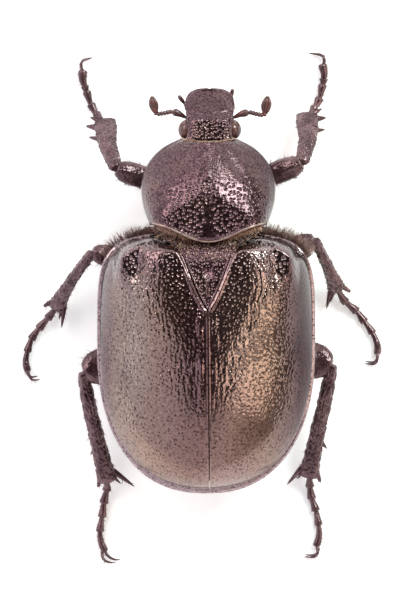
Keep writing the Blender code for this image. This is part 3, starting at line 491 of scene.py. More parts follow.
def case_height(x, y):
    """Height of the back, with the shoulder knob and the hollow inside it."""
    front = y > CASE_WIDEST_Y
    reach = np.where(front, CASE_FRONT_REACH - RIM["front"], CASE_REAR_REACH - RIM["rear"])
    share = np.clip(np.abs(y - CASE_WIDEST_Y) / reach, 0, 1)
    ahead = 1 - 0.10 * share ** 2 - 0.28 * smooth(0.85, 1.0, share)
    behind = np.sqrt(np.clip(1 - share ** 3.0, 0, 1))
    flatness = 4.2 - 2.4 * smooth(3.4, -5.0, y)                   # flat across in front, a roof behind
    foot = np.maximum(case_half_width(y, 1.0), 1e-3)
    arch = np.clip(1 - (np.abs(x) / foot) ** flatness, 0, 1) ** 0.8
    dome = CASE_CROWN * np.where(front, ahead, behind) * arch
    gap = margin_gap(x, y)
    terrace = smooth(4.4, 5.2, x) * smooth(7.0, 6.1, x) * smooth(1.0, 2.8, y) * smooth(0.0, 1.5, gap)
    dome = dome + (SHOULDER_LEVEL - dome) * terrace               # the level hollow inside the shoulder
    knobs = 0.10 * swell(x, y, 3.1, 2.4, 1.1, 2.0) + 0.12 * swell(x, y, 5.0, -9.6, 1.4, 1.5)
    fall = 0.8 * np.maximum(rim_width(y) - gap, 0)
    return rim_level(y) + dome + knobs * smooth(0.0, 0.8, gap) - fall


CASE_TRIANGLE_SIDE = soft_path([(half, y) for half, y in TRIANGLE], 120)
CASE_CORNER_Y = 5.38

# %% Form of one wing case
def case_edges(side):
    """The edge along the seam and triangle, and the outer margin, from the apex to the front corner."""
    offset = side * CASE_SHIFT                       # the plan below is centred on the pair
    seam = [(side * (0.05 - 0.010 * y) - offset + SEAM_GAP * smooth(-13.9, -11.5, y) + 0.004, y)
            for y in np.linspace(-13.88, -0.3, 60)]
    beside = [(half + 2 * SEAM_GAP - offset, y) for half, y in CASE_TRIANGLE_SIDE[2:]]
    corner = (beside[-1][0], CASE_CORNER_Y)
    inner = even_path(seam + beside + [corner], 800)
    turn = np.radians(np.linspace(-89.6, 89.0, 4000))
    front = turn > 0
    power = np.where(front, SHOULDER_SQUARENESS, APEX_SQUARENESS)
    reach = np.where(front, CASE_FRONT_REACH, CASE_REAR_REACH)
    x = CASE_HALF_WIDTH * np.abs(np.cos(turn)) ** (2 / power)
    y = CASE_WIDEST_Y + np.sign(turn) * reach * np.abs(np.sin(turn)) ** (2 / power)
    kept = (x > np.where(front, corner[0], inner[0][0] + 0.02))
    return inner, even_path(np.stack([x[kept], y[kept]], axis=1), 800)


def case_form(side):
    inner, outer = case_edges(side)
    shares = np.linspace(0, 1, 800)

    def form(across, along, under):
        ease = 0.7 * across + 0.3 * np.sin(across * math.pi / 2)  # closer lines near the steep margin
        along = 1 - (1 - along) ** 1.15                            # and in front, where the pits are
        near_x, near_y = np.interp(along, shares, inner[:, 0]), np.interp(along, shares, inner[:, 1])
        far_x, far_y = np.interp(along, shares, outer[:, 0]), np.interp(along, shares, outer[:, 1])
        x, y = near_x + (far_x - near_x) * ease, near_y + (far_y - near_y) * ease
        gap = margin_gap(x, y)
        top = case_height(x, y)
        inward = np.clip(0.2 - gap, 0, 0.2) * under
        low = np.where(gap < 0.5, rim_level(y) - 0.5, np.maximum(top - 0.6, rim_level(y) - 0.5))
        z = np.where(under, low, top)
        return np.stack([side * (x - inward) + CASE_SHIFT, y, z], axis=1)

    return form, inner


def case_relief(side, inner):
    seam_y = CASE_TRIANGLE_SIDE[0][1]

    def relief(place, across, along):
        x, y = side * (place[:, 0] - CASE_SHIFT), place[:, 1]
        rim, edge = margin_gap(x, y), gap_to(inner[::3], x, y)
        open_skin = smooth(0.35, 0.75, rim) * smooth(0.12, 0.3, edge)
        slope = x + 0.25 * (place[:, 2] < 9) * (9 - place[:, 2])      # unrolls the steep flank
        bead = rim_width(y)
        lift = 0.05 * line(rim, 0.5 * bead, 0.4 * bead)
        along_seam = smooth(seam_y, seam_y - 0.8, y)
        seam_bead = 0.040 * line(edge, 0.045, 0.04) - 0.012 * line(edge, 0.13, 0.05)
        lift += along_seam * smooth(-13.7, -12.6, y) * seam_bead
        lift += smooth(-9.0, -6.0, y) * along_seam * (0.07 if side < 0 else 0.02) * line(edge, 0.5, 0.22)
        lift += (1 - along_seam) * (0.08 * line(edge, 0.20, 0.13) - 0.012 * line(edge, 0.48, 0.08))
        lift -= 0.24 * smooth(0.5, 0.0, edge) * smooth(2.0, 3.8, y)  # the inner edge dips to the triangle
        calm = smooth(7.3, 6.0, x) * smooth(-13.0, -8.5, y)
        dip, _ = pits(slope, y, 0.285, 0.072, 11 + side, 0.42)
        dot, _ = pits(slope, y, 0.300, 0.105, 14 + side, 0.42)
        lobe_edge = 3.9 - 2.6 * smooth(2.0, -6.0, y)
        lobe = smooth(-8.5, -6.5, y) * smooth(0.35, -0.35, x - lobe_edge)
        disc = smooth(-10.5, -4.0, y) * smooth(7.0, 5.5, x) * (1 - lobe) * (1 - 0.5 * smooth(1.2, 2.4, y))
        lift -= open_skin * (dip * (0.008 + 0.039 * lobe) + dot * 0.045 * disc)
        wrinkled = calm * line(x - lobe_edge, 0.5, 0.9) * smooth(4.6, 3.4, y) * smooth(-8.5, -5.5, y)
        bent = slope + 0.14 * waves(x, y, 1.1, 1.4, 3)
        lift += open_skin * 0.042 * wrinkled * waves(bent, y, 0.14, 0.60, 21 + side)
        lift += open_skin * 0.005 * calm * (1 - 0.9 * lobe) * waves(bent, y, 0.15, 0.26, 31 + side)
        hollow = line(x, 5.65, 1.5) * smooth(0.6, 2.0, y) * smooth(5.3, 4.6, y)
        lift += open_skin * hollow * (0.008 * waves(x, y, 0.30, 0.75, 41 + side) - 0.03 * dot)
        near_seam = line(x - 0.75 - 0.05 * y * (y < 0), 0.0, 0.5) * smooth(0.5, -1.5, y) * calm
        lift += 0.05 * open_skin * near_seam * waves(x, y, 0.17, 0.9, 7)
        return lift

    return relief

# %% Press both wing cases
CASE_SHEET = (11.5, 21.0)
for side, name in ((-1, "elytron_left"), (1, "elytron_right")):
    form, inner = case_form(side)
    case = plate(name + "_plate", CASE_SHEET, (22, 43), 0.5, form, case_relief(side, inner), bronze, side)
    stand_in(case, "bronze_cuticle", name)

# %% [markdown]
# ## Dark skin
# Under the plates and between them the chitin is nearly black and only half glossy. The trunk and
# the underside have this finish; on the collar it is painted shade, where the collar slides under the shield.

# %% Finish of the underside
dark, tree, shader, place = new_finish("dark_chitin_underside")
# Nearly black chitin, glossy between its pits, with a red-brown glow in the thin places.
hue = ramp(tree, noise(tree, place, 0.7, 4.0), ((0.3, "#2E1B1C"), (0.55, "#3B2526"), (0.75, "#4A2E2A")))
dents = ramp(tree, scattered_dots(tree, place, 4.5, 1.0), ((0.0, 0.0), (0.35, 1.0)))
dents = bump(tree, dents, 0.04, 0.7)
fill(tree, shader, {"Base Color": hue, "Metallic": 0.25, "Roughness": 0.34, "Coat Weight": 0.3,
                    "Coat Roughness": 0.2,
                    "Normal": bump(tree, noise(tree, place, 9.0, 3.0), 0.02, 0.5, dents)})

# %% [markdown]
# ## Cuticle with close pits
# Shield, head and triangle are the same chitin as the wing cases but pitted all over, so they look
# matt mauve-brown where the pits are fine and glint where they are coarse.

# %% Finish of the shield, head and triangle
pitted, tree, shader, place = new_finish("pitted_chitin")
# Dark chitin with a scatter of dents: less mirror, more mauve-brown body colour than the wing cases, with
# painted glints and painted shade in its colour.
blotch, grain_with_painted_glints = noise(tree, place, 0.5, 4.0, 0.6), noise(tree, place, 7.0, 3.0)
parts = separate(tree, place)
hue = ramp(tree, blotch, ((0.30, "#644A4F"), (0.52, "#70555B"), (0.72, "#7E635F")))
# A speckle of lighter and darker grains: painted glints and painted shade of pits too fine to model.
hue = mix(tree, 1.0, hue, ramp(tree, grain_with_painted_glints, ((0.36, "#8A8082"), (0.6, "#FFFFFF"))), "MULTIPLY")
# Painted shade: the right side is darkened from x = 2.5 mm outwards.
side = ramp(tree, rescale(tree, parts["X"], 2.5, 5.2), ((0.0, "#FFFFFF"), (1.0, "#A89AA0")))
hue = mix(tree, 1.0, hue, side, "MULTIPLY")
along = rescale(tree, multiply_add(tree, blotch, 1.2, parts["Y"]), 4.0, 17.0)
matt = ramp(tree, along, ((0.38, 0.05), (0.52, 0.34), (0.62, 0.38), (0.68, 0.10), (0.80, 0.10), (0.88, 0.36)))
dents = ramp(tree, scattered_dots(tree, place, 8.0, 0.9), ((0.0, 0.0), (0.45, 1.0)))
fill(tree, shader, {"Base Color": hue, "Metallic": 0.88, "Roughness": multiply_add(tree, grain_with_painted_glints, 0.08, matt),
                    "Coat Weight": 0.1, "Coat Roughness": 0.15,
                    "Normal": bump(tree, grain_with_painted_glints, 0.016, 0.45, bump(tree, dents, 0.012, 0.4))})

# %% [markdown]
# ## The triangle between the wing cases
# The scutellum is the small three-sided plate where the wing cases part. It is sunk a little, closely
# pitted, with a fine raised line along its middle and a dark dimple in front of that. It runs forward
# into a collar that slides under the shield. One sheet is pressed for both, as no seam parts them.

# %% Press the triangle and its collar
TRIANGLE_LEVELS = ((-0.2, 11.60), (1.0, 11.55), (2.2, 11.46), (3.3, 11.28), (4.2, 10.90), (5.25, 10.15),
                   (6.6, 9.6))
triangle_outline = np.array([*CASE_TRIANGLE_SIDE, (3.9, 5.6), (4.0, 6.6)])
triangle_level = soft_path(TRIANGLE_LEVELS)


def triangle_form(across, along, under):
    y = -0.2 + 6.8 * along
    place = 2 * across - 1
    half = np.interp(y, triangle_outline[:, 1], triangle_outline[:, 0])
    x = place * half * (1 - 0.1 * under) + 0.04 * smooth(3.0, 0.0, y)
    top = np.interp(y, triangle_level[:, 0], triangle_level[:, 1]) - 0.10 * place ** 2 * smooth(4.0, 4.6, y)
    return np.stack([x, y, top - 0.9 * under], axis=1)


def triangle_relief(place, across, along):
    x, y = place[:, 0], place[:, 1]
    dip, _ = pits(x, y, 0.225, 0.068, 5, 0.42)
    edge = np.interp(y, triangle_outline[:, 1], triangle_outline[:, 0]) - np.abs(x - 0.03)
    bare = 1 - 0.9 * line(x, 0.03, 0.09) * smooth(0.4, 0.9, y) * smooth(2.2, 1.8, y)
    lift = -0.045 * dip * smooth(0.05, 0.2, edge) * bare
    lift += 0.07 * line(x, 0.03, 0.07) * smooth(0.5, 0.9, y) * smooth(2.3, 1.7, y)
    lift -= 0.16 * swell(x, y, 0.08, 2.55, 0.3, 0.42)
    lift += 0.05 * line(edge, 0.05, 0.06) * smooth(4.2, 3.4, y)
    return lift + 0.008 * waves(x, y, 0.35, 0.5, 6)


TRIANGLE_SHEET = (7.2, 6.8)
COLLAR_Y = 4.35                     # in front of this line the collar takes the dark finish under its hairs: painted shade
triangle = plate("scutellum_plate", TRIANGLE_SHEET, (14, 15), 0.4, triangle_form, triangle_relief, pitted)
# The collar's faces take the dark finish: painted shade where it slides under the shield.
triangle.data.materials.append(dark)
for face in triangle.data.polygons:
    face.material_index = int(face.center.y > COLLAR_Y * MM)
stand_in(triangle, "dark_cuticle", "scutellum")

# %% [markdown]
# ## The shield
# The pronotum is one broad plate, rounder than it is long. A male carries two low ridges in front
# with a furrow between them that opens backwards, and the hind margin ends in a smooth rolled bead.
# Its pits are fine in front and at the sides, coarse and round on the slopes beside the furrow.

# %% Sizes of the shield
SHIELD_SHIFT, SHIELD_HALF_WIDTH, SHIELD_WIDEST_Y = 0.1, 5.0, 8.74
SHIELD_FRONT_REACH, SHIELD_REAR_REACH = 4.13, 5.43
SHIELD_FRONT_Y, SHIELD_HIND_Y, SHIELD_HIND_BOW, SHIELD_FRONT_BOW = 12.42, 6.03, 1.3, -0.28
SHIELD_RIM_Z, SHIELD_TOP_Z, SHIELD_TOP_Y, SHIELD_WALL = 7.3, 11.1, 8.2, 0.75
SHIELD_LENGTH = 6.1                 # along the sheet, for the distance to its front and hind edge


def shield_half_width(y):
    reach = np.where(y > SHIELD_WIDEST_Y, SHIELD_FRONT_REACH, SHIELD_REAR_REACH)
    corner = 1 - 0.03 * smooth(11.6, 12.42, y) ** 1.5
    return SHIELD_HALF_WIDTH * corner * np.sqrt(np.clip(1 - ((y - SHIELD_WIDEST_Y) / reach) ** 2, 0, 1))


def shield_height(x, y, side_y):
    rim = SHIELD_RIM_Z + 0.05 * (SHIELD_WIDEST_Y - side_y)
    brow = np.maximum(y - (SHIELD_TOP_Y - 0.55 * np.abs(x)), 0)    # in front of a line that runs back and out
    top = SHIELD_TOP_Z - 0.34 * (np.sqrt(brow ** 2 + 0.16) - 0.4) - 0.13 * np.maximum(brow - 2.3, 0) ** 1.6
    place = np.clip(np.abs(x) / shield_half_width(side_y), 0, 1)
    flatness = 9.0 - 4.2 * smooth(6.6, 8.2, y) - 2.2 * smooth(8.2, 10.5, y)
    height = rim + (top - rim) * (1 - place ** flatness) ** (1 / 1.8)
    ridge = line(np.abs(x), 0.75, 0.4) * smooth(9.0, 11.2, y) * smooth(12.2, 11.2, y)
    furrow = line(x, 0.0, 0.30) * smooth(9.8, 9.0, y) * smooth(7.3, 8.0, y)
    return height + 0.10 * ridge - 0.12 * furrow


def shield_form(across, along, under):
    place = np.sin(math.pi / 2 * (2 * across - 1))
    side_y = SHIELD_HIND_Y + (SHIELD_FRONT_Y - SHIELD_HIND_Y) * along
    x = place * shield_half_width(side_y)
    y = (side_y - SHIELD_HIND_BOW * (1 + np.cos(math.pi * place)) / 2 * (1 - along) ** 2
         + SHIELD_FRONT_BOW * (1 - place ** 2) * along ** 2)
    z = shield_height(x, y, side_y) - under * SHIELD_WALL * (1 - 0.25 * place ** 4)
    return np.stack([x * (1 - 0.03 * under * np.abs(place) ** 8) + SHIELD_SHIFT, y, z], axis=1)


def shield_relief(place, across, along):
    x, y = place[:, 0] - SHIELD_SHIFT, place[:, 1]
    side = (1 - np.abs(np.sin(math.pi / 2 * (2 * across - 1)))) * shield_half_width(place[:, 1])
    hind = along * SHIELD_LENGTH
    reach = x * (1 + 0.12 * (np.abs(x) / 4) ** 3)                 # unrolls the steep sides
    coarse = smooth(10.4, 8.4, y) * smooth(4.9, 3.9, np.abs(x))
    fine_dip, _ = pits(reach, y, 0.165, 0.075, 41)
    wide_dip, number = pits(reach, y, 0.290, 0.100, 42, 0.42)
    edge = -np.log(np.exp(-6 * side) + np.exp(-6 * hind)) / 6     # distance to side or hind margin
    bald = 0.95 * line(x, 0, 0.15 + 0.35 * smooth(6.6, 5.2, y)) * smooth(8.2, 7.6, y)
    clear = smooth(0.14, 0.34, edge) * smooth(0.0, 0.2, (1 - along) * SHIELD_LENGTH) * (1 - bald)
    lift = -clear * (0.030 * fine_dip * (1 - coarse) + 0.075 * wide_dip * coarse * (number > 0.06))
    behind = smooth(7.0, 6.0, y)
    lift += (0.035 + 0.04 * behind) * line(edge, 0.09, 0.09) - 0.03 * behind * line(edge, 0.30, 0.07)
    lift += 0.10 * swell(x, y, -0.36, 11.2, 0.28, 0.45) + 0.10 * swell(x, y, 0.80, 11.2, 0.30, 0.5)
    crease = (0.84 * (np.abs(x) - 1.0) + 0.54 * (y - 11.4))       # runs back and out from each bump
    crease = line(crease, 0.35, 0.28)
    lift -= 0.09 * crease * smooth(8.8, 9.8, y) * smooth(12.0, 11.2, y) * (0.5 + 0.5 * (x > 0))
    return lift + 0.02 * clear * (1 - 0.7 * coarse) * waves(x, y, 0.4, 0.4, 43)

# %% Press the shield
SHIELD_SHEET = (11.5, 7.5)
shield = plate("pronotum_plate", SHIELD_SHEET, (28, 20), 0.5, shield_form, shield_relief, pitted)
bead_finish, tree, shader, place = new_finish("bead_chitin_painted_reflection")
# The rolled hind margin carries no pits and is rubbed smooth. It is painted light tan: partly the body
# colour, partly a painted reflection of the tent behind.
streak = noise(tree, place, 2.5, 3.0)
fill(tree, shader, {"Base Color": ramp(tree, streak, ((0.3, "#8A706A"), (0.7, "#B89E94"))), "Metallic": 0.6,
                    "Roughness": 0.3, "Normal": bump(tree, streak, 0.01, 0.3)})
shield.data.materials.append(bead_finish)
# Faces along the hind margin take the bead's lighter finish, a painted reflection.
for face in shield.data.polygons:
    x, y = face.center.x / MM - SHIELD_SHIFT, face.center.y / MM
    hind = SHIELD_HIND_Y - SHIELD_HIND_BOW * (1 + math.cos(math.pi * min(abs(x) / 4.33, 1))) / 2
    face.material_index = int(y < hind + 0.15)
print("shield", len(shield.data.polygons), "faces")

# %% [markdown]
# ## Skin under the plates
# Below its plates the beetle is one leathery body. The solids already have that shape, so a copy of
# them is merged, remeshed finely and smoothed, and the plates of the underside are then marked by
# grooves. That keeps the skin exactly where the solids are, which modelling it anew would not.

# %% Copy, merge and remesh the solids of the body
def skin_of(name, nodes, voxel, cores=()):
    """One fine skin made of copies of solids. cores are (place, size) of blocks that bridge them inside."""
    bpy.ops.object.select_all(action="DESELECT")
    copies = []
    for middle, size in cores:
        bpy.ops.mesh.primitive_cube_add(size=1, location=Vector(middle) * MM)
        copies.append(bpy.context.object)
        bpy.ops.transform.resize(value=Vector(size) * MM)
        bpy.ops.object.transform_apply(location=True, scale=True)
    for core in copies:
        core.select_set(True)
    for node in nodes:
        copy = bpy.data.objects.new(name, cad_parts[node].data.copy())
        bpy.context.scene.collection.objects.link(copy)
        copy.select_set(True)
        copies.append(copy)
    skin = bpy.context.view_layer.objects.active = copies[0]
    if len(copies) > 1:
        bpy.ops.object.join()
    bpy.ops.object.mode_set(mode="EDIT")
    bpy.ops.mesh.select_all(action="SELECT")
    bpy.ops.mesh.remove_doubles(threshold=0.002 * MM)
    bpy.ops.mesh.normals_make_consistent(inside=False)
    bpy.ops.object.mode_set(mode="OBJECT")
    remesh = skin.modifiers.new("remesh", "REMESH")
    remesh.mode, remesh.voxel_size = "VOXEL", voxel * MM
    bpy.ops.object.modifier_apply(modifier="remesh")
    ease = skin.modifiers.new("ease", "SMOOTH")
    ease.factor, ease.iterations = 0.5, 12
    bpy.ops.object.modifier_apply(modifier="ease")
    skin.name = skin.data.name = name
    return skin


def lift_skin(skin, relief):
    """Moves each point along its normal by relief(place, normal), in mm."""
    place, normal = points_of(skin), read(skin.data.vertices, "normal")
    set_points(skin, place + normal * relief(place, normal)[:, None])

# %% Trunk
WAIST_Y, TAIL_Y, VENTRITES = -2.725, -13.0, 5


def trunk_relief(place, normal):
    x, y = np.abs(place[:, 0]), place[:, 1]
    below, behind = smooth(-0.1, -0.6, normal[:, 2]), smooth(-9.0, -12.0, y)
    step = (WAIST_Y - TAIL_Y) / VENTRITES
    share = np.mod((WAIST_Y - y) / step, 1.0)
    belly = smooth(WAIST_Y + 0.2, WAIST_Y, y)
    lift = belly * below * (-0.10 * line(share * step, 0.0, 0.09) - 0.10 * line((1 - share) * step, 0.0, 0.05)
                            + 0.05 * smooth(0.3, 0.95, share))
    chest = smooth(WAIST_Y, WAIST_Y + 0.4, y) * below
    lift -= chest * 0.14 * line(x, 0.0, 0.12) * smooth(3.0, 2.0, y)
    lift -= chest * 0.10 * line(x - 3.4 - 0.25 * y, 0.0, 0.10) * smooth(-2.0, -1.0, y)
    dip, number = pits(place[:, 0], y + 0.4 * place[:, 2], 0.34, 0.12, 51)
    sides = 0.3 + 0.7 * smooth(1.5, 4.5, x)
    return lift - 0.03 * dip * sides * (number > 0.3) - 0.02 * behind * dip


BRIDGES = (((0, -2.6, 6.4), (10.4, 1.2, 4.0)), ((0, 5.95, 6.4), (5.0, 2.4, 4.2)))
trunk = skin_of("trunk_skin", ("thorax", "abdomen"), 0.13, BRIDGES)
lift_skin(trunk, trunk_relief)
tidy(trunk, dark)
stand_in(trunk, "dark_cuticle", "thorax", "abdomen")

# %% [markdown]
# ## Under the shield
# The fore legs hang from the block of the prothorax, which closes the shield below. A copy of the
# shield's solid gives it; its upper part is drawn in, so that it hides inside the pressed plate.

# %% Under the shield
prothorax = skin_of("prothorax_skin", ("pronotum",), 0.11)
place = points_of(prothorax)
level = shield_height(place[:, 0] - SHIELD_SHIFT, np.clip(place[:, 1], 4.8, 12.2),
                      np.clip(place[:, 1], 6.03, 12.15))
upper = smooth(1.3, 0.7, level - place[:, 2])
place[:, 2] = np.minimum(place[:, 2], level - 0.75)
narrower = 1 - 0.03 * smooth(7.2, 6.2, place[:, 1])
place[:, 0] = SHIELD_SHIFT + (place[:, 0] - SHIELD_SHIFT) * (1 - 0.05 * upper) * narrower
place[:, 1] = 8.9 + (place[:, 1] - 8.9) * (1 - 0.06 * upper)
set_points(prothorax, place)
lift_skin(prothorax, lambda place, normal: -0.03 * pits(place[:, 0], place[:, 1], 0.3, 0.11, 52)[0])
tidy(prothorax, dark)
stand_in(prothorax, "dark_cuticle", "pronotum")
stand_in(shield, "bronze_cuticle", "pronotum")

# %% [markdown]
# ## The head
# Seen from above, the head is a flat spade: a fine-grained front plate with a raised rim, and behind
# it a brow with coarse glinting pits. The sheet is wrapped over the top and down both cheeks, and its
# plain underside closes the capsule below.

# %% Sizes and form of the head
HEAD_SHIFT, HEAD_HALF_WIDTH, HEAD_BACK_Y = 0.2, 1.75, 12.0
HEAD_WIDEST_Y, HEAD_FRONT_REACH, CLYPEUS_SQUARENESS = 14.32, 1.79, 3.6
EYE_CENTRE, EYE_RADII = (1.73, 13.13, 6.88), (0.62, 0.74, 0.74)
CHEEK = 0.8                         # share of the sheet that covers the top


def head_half_width(y):
    share = np.clip((y - HEAD_WIDEST_Y) / HEAD_FRONT_REACH, 0, 1)
    ahead = HEAD_HALF_WIDTH * (1 - share ** CLYPEUS_SQUARENESS) ** (1 / CLYPEUS_SQUARENESS)
    waist = 0.05 * line(y, 13.25, 0.45) - 0.11 * line(y, 13.98, 0.12) - 0.20 * smooth(12.8, 12.2, y)
    return ahead - waist


def head_form(across, along, under):
    span = HEAD_WIDEST_Y + HEAD_FRONT_REACH * 0.999 - HEAD_BACK_Y
    y = HEAD_BACK_Y + span * np.sin(math.pi / 2 * along)
    turn = 2 * across - 1
    place = np.sign(turn) * np.sin(math.pi / 2 * np.clip(np.abs(turn) / CHEEK, 0, 1))
    down = np.clip((np.abs(turn) - CHEEK) / (1 - CHEEK), 0, 1)
    half = np.maximum(head_half_width(y), 0.02)
    crown = 8.15 - 0.12 * (y - 12.2) - 0.60 * np.maximum(y - 13.8, 0) ** 1.12
    crown -= 0.5 * smooth(12.5, 12.1, y) ** 2
    fall = 1.0 - 0.68 * smooth(13.5, 15.2, y) - 0.45 * line(y, 13.15, 0.55)
    low = 4.75 + 1.0 * smooth(14.6, 16.0, y)
    cheek = crown - fall
    squareness = 5.5 - 2.3 * smooth(13.6, 14.6, y)
    top = cheek + fall * np.sqrt(1 - np.abs(place) ** squareness)
    top -= down * np.maximum(cheek - low - 0.25, 0.15)
    belly = np.minimum(low + 0.5 * np.abs(place) ** 3, cheek - 0.35)
    x = half * place * (1 - 0.28 * down ** 1.5) * (1 - 0.06 * under)
    return np.stack([x + HEAD_SHIFT, y, np.where(under, belly, top)], axis=1)


def head_relief(place, across, along):
    x, y = place[:, 0] - HEAD_SHIFT, place[:, 1]
    front = np.clip((y - HEAD_WIDEST_Y) / HEAD_FRONT_REACH, 0, 1)
    share = (np.abs(x) / HEAD_HALF_WIDTH) ** CLYPEUS_SQUARENESS + front ** CLYPEUS_SQUARENESS
    rim = smooth(0.80, 0.97, share) * smooth(14.2, 14.8, y)
    brow = smooth(14.45, 14.05, y)
    coarse, number = pits(x, y, 0.205, 0.070, 61, 0.42)
    fine, _ = pits(x, y, 0.11, 0.05, 62)
    lift = 0.13 * rim - 0.10 * swell(x, y, 0.0, 15.2, 1.1, 0.6)
    lift += 0.05 * swell(np.abs(x), y, 0.75, 13.7, 0.45, 0.35)
    lift -= brow * 0.055 * coarse * (number > 0.05) + (1 - brow) * (1 - rim) * 0.020 * fine
    lift += (0.006 + 0.012 * (1 - brow)) * waves(x, y, 0.3, 0.25, 63)
    return lift - 0.05 * line(y, HEAD_WIDEST_Y + 0.12 * np.abs(x), 0.06)

# %% Press the head
HEAD_SHEET = (6.0, 4.1)
head = plate("head_plate", HEAD_SHEET, (18, 13), 0.3, head_form, head_relief, pitted)
stand_in(head, "bronze_cuticle", "head")

# %% [markdown]
# ## Eyes
# A beetle's eye is a bead of thousands of tiny lenses under one glassy skin, red-brown here. A sphere
# is drawn out to the size of the eye, and its rim is inset and pushed in so that it sits in a socket
# and doesn't just poke through the cheek. The lenses are far finer than a pixel: they are bump.

# %% Finish and shape of the eyes
lens, tree, shader, place = new_finish("eye_lens_chitin")
# Clear chitin lenses over red-brown pigment: glassy, with the faintest net of facets.
glow = ramp(tree, noise(tree, place, 1.2, 2.0), ((0.35, "#4A2A2A"), (0.65, "#6E4640")))
facets = scattered_dots(tree, place, 22.0, 0.25)
fill(tree, shader, {"Base Color": glow, "Roughness": 0.14, "Coat Weight": 0.25, "Coat Roughness": 0.05,
                    "Normal": bump(tree, facets, 0.008, 0.35)})

for side, name in ((-1, "eye_left"), (1, "eye_right")):
    bpy.ops.object.select_all(action="DESELECT")
    centre = Vector((side * EYE_CENTRE[0] + HEAD_SHIFT, EYE_CENTRE[1], EYE_CENTRE[2])) * MM
    bpy.ops.mesh.primitive_uv_sphere_add(segments=48, ring_count=32, radius=MM, location=centre,
                                         rotation=(0, math.radians(90), 0))
    eye = bpy.context.object
    bpy.ops.object.transform_apply(location=False, rotation=True, scale=False)
    eye.name = eye.data.name = name + "_lens"
    bpy.ops.object.mode_set(mode="EDIT")
    bpy.ops.mesh.select_all(action="SELECT")
    bpy.ops.transform.resize(value=EYE_RADII, center_override=centre)
    bpy.ops.mesh.select_all(action="DESELECT")
    bpy.ops.object.mode_set(mode="OBJECT")
    for face in eye.data.polygons:
        face.select = side * face.center.x < -0.18 * MM
    bpy.ops.object.mode_set(mode="EDIT")
    bpy.ops.mesh.inset(thickness=0.03 * MM, depth=-0.05 * MM)
    bpy.ops.object.mode_set(mode="OBJECT")
    bpy.ops.object.transform_apply(location=True, rotation=True, scale=True)
    tidy(eye, lens)
    stand_in(eye, "eye", name)

# %% [markdown]
# ## Limbs, drawn out and laid along a path
# Legs, feelers, palps and claws are all tapering rods of flattened round section. One is drawn out
# upright from a circle, station by station, by extruding its top and resizing it, then rounded by a
# subdivision surface. The rod is then laid along the limb's own path. Each shape is drawn once, and
# copies with a mesh of their own are laid wherever it repeats, mirrored for the left side.

# %% Draw out a rod, and lay a copy of it
def draw_rod(name, stations, sides=12, levels=1, keels=(), steps=0):
    """An upright rod, 1 mm long. stations are (share of the length, half width, half depth) in mm.

    keels are (angle in degrees, share) that raise an edge along the rod. steps adds stations between.
    """
    if steps:
        stations = [tuple(station) for station in soft_path(stations, steps)]
    bpy.ops.object.select_all(action="DESELECT")
    bpy.ops.mesh.primitive_circle_add(vertices=sides, radius=MM, fill_type="NGON")
    rod = bpy.context.object
    rod.name = rod.data.name = name
    bpy.ops.object.mode_set(mode="EDIT")
    bpy.ops.mesh.select_all(action="SELECT")
    bpy.ops.transform.resize(value=(stations[0][1], stations[0][2], 1), center_override=(0, 0, 0))
    for (at, width, depth), (share, new_width, new_depth) in zip(stations, stations[1:]):
        bpy.ops.mesh.extrude_region_move(TRANSFORM_OT_translate={"value": (0, 0, (share - at) * MM)})
        bpy.ops.transform.resize(value=(new_width / width, new_depth / depth, 1), center_override=(0, 0, 0))
    bpy.ops.object.mode_set(mode="OBJECT")
    if keels:
        place = points_of(rod)
        angle = np.degrees(np.arctan2(place[:, 1], place[:, 0]))
        for at, share in keels:
            near = np.abs((angle - at + 180) % 360 - 180) < 180 / sides
            place[near, :2] *= 1 + share
        set_points(rod, place)
    round_off = rod.modifiers.new("round", "SUBSURF")
    round_off.levels = round_off.render_levels = levels
    bpy.ops.object.modifier_apply(modifier="round")
    masters.append(rod)
    return rod


def frames_along(path, up=(0, 0, 1)):
    """Middle, direction, across and up at 200 places along a smooth path, in mm."""
    middle = soft_path(path)
    direction = unit(np.gradient(middle, axis=0))
    across = unit(np.cross(np.array(up, float), direction))
    return middle, direction, across, np.cross(direction, across)


def lay(rod, name, path, thick=1.0, mirror=1, up=(0, 0, 1)):
    """A copy of the rod, laid along a path. thick scales its section, mirror -1 turns it over."""
    middle, direction, across, above = frames_along(path, up)
    copy = bpy.data.objects.new(name, rod.data.copy())
    copy.data.name = name
    bpy.context.scene.collection.objects.link(copy)
    place = points_of(copy)
    at = np.clip(place[:, 2], 0, 1) * (len(middle) - 1)
    shares = np.arange(len(middle))
    pick = [np.stack([np.interp(at, shares, part[:, i]) for i in range(3)], axis=1)
            for part in (middle, direction, across, above)]
    laid = (pick[0] + pick[2] * (mirror * thick * place[:, :1]) + pick[3] * (thick * place[:, 1:2]))
    set_points(copy, laid)
    return copy


def join(name, pieces, finish, node, slot):
    """One object of several, which stands for a node."""
    bpy.ops.object.select_all(action="DESELECT")
    for piece in pieces:
        piece.select_set(True)
    whole = bpy.context.view_layer.objects.active = pieces[0]
    if len(pieces) > 1:
        bpy.ops.object.join()
    whole.name = whole.data.name = name
    tidy(whole, finish)
    stand_in(whole, slot, node)
    return whole


masters = []

# %% Finish of the legs and feelers
legs_finish, tree, shader, place = new_finish("leg_chitin_worn")
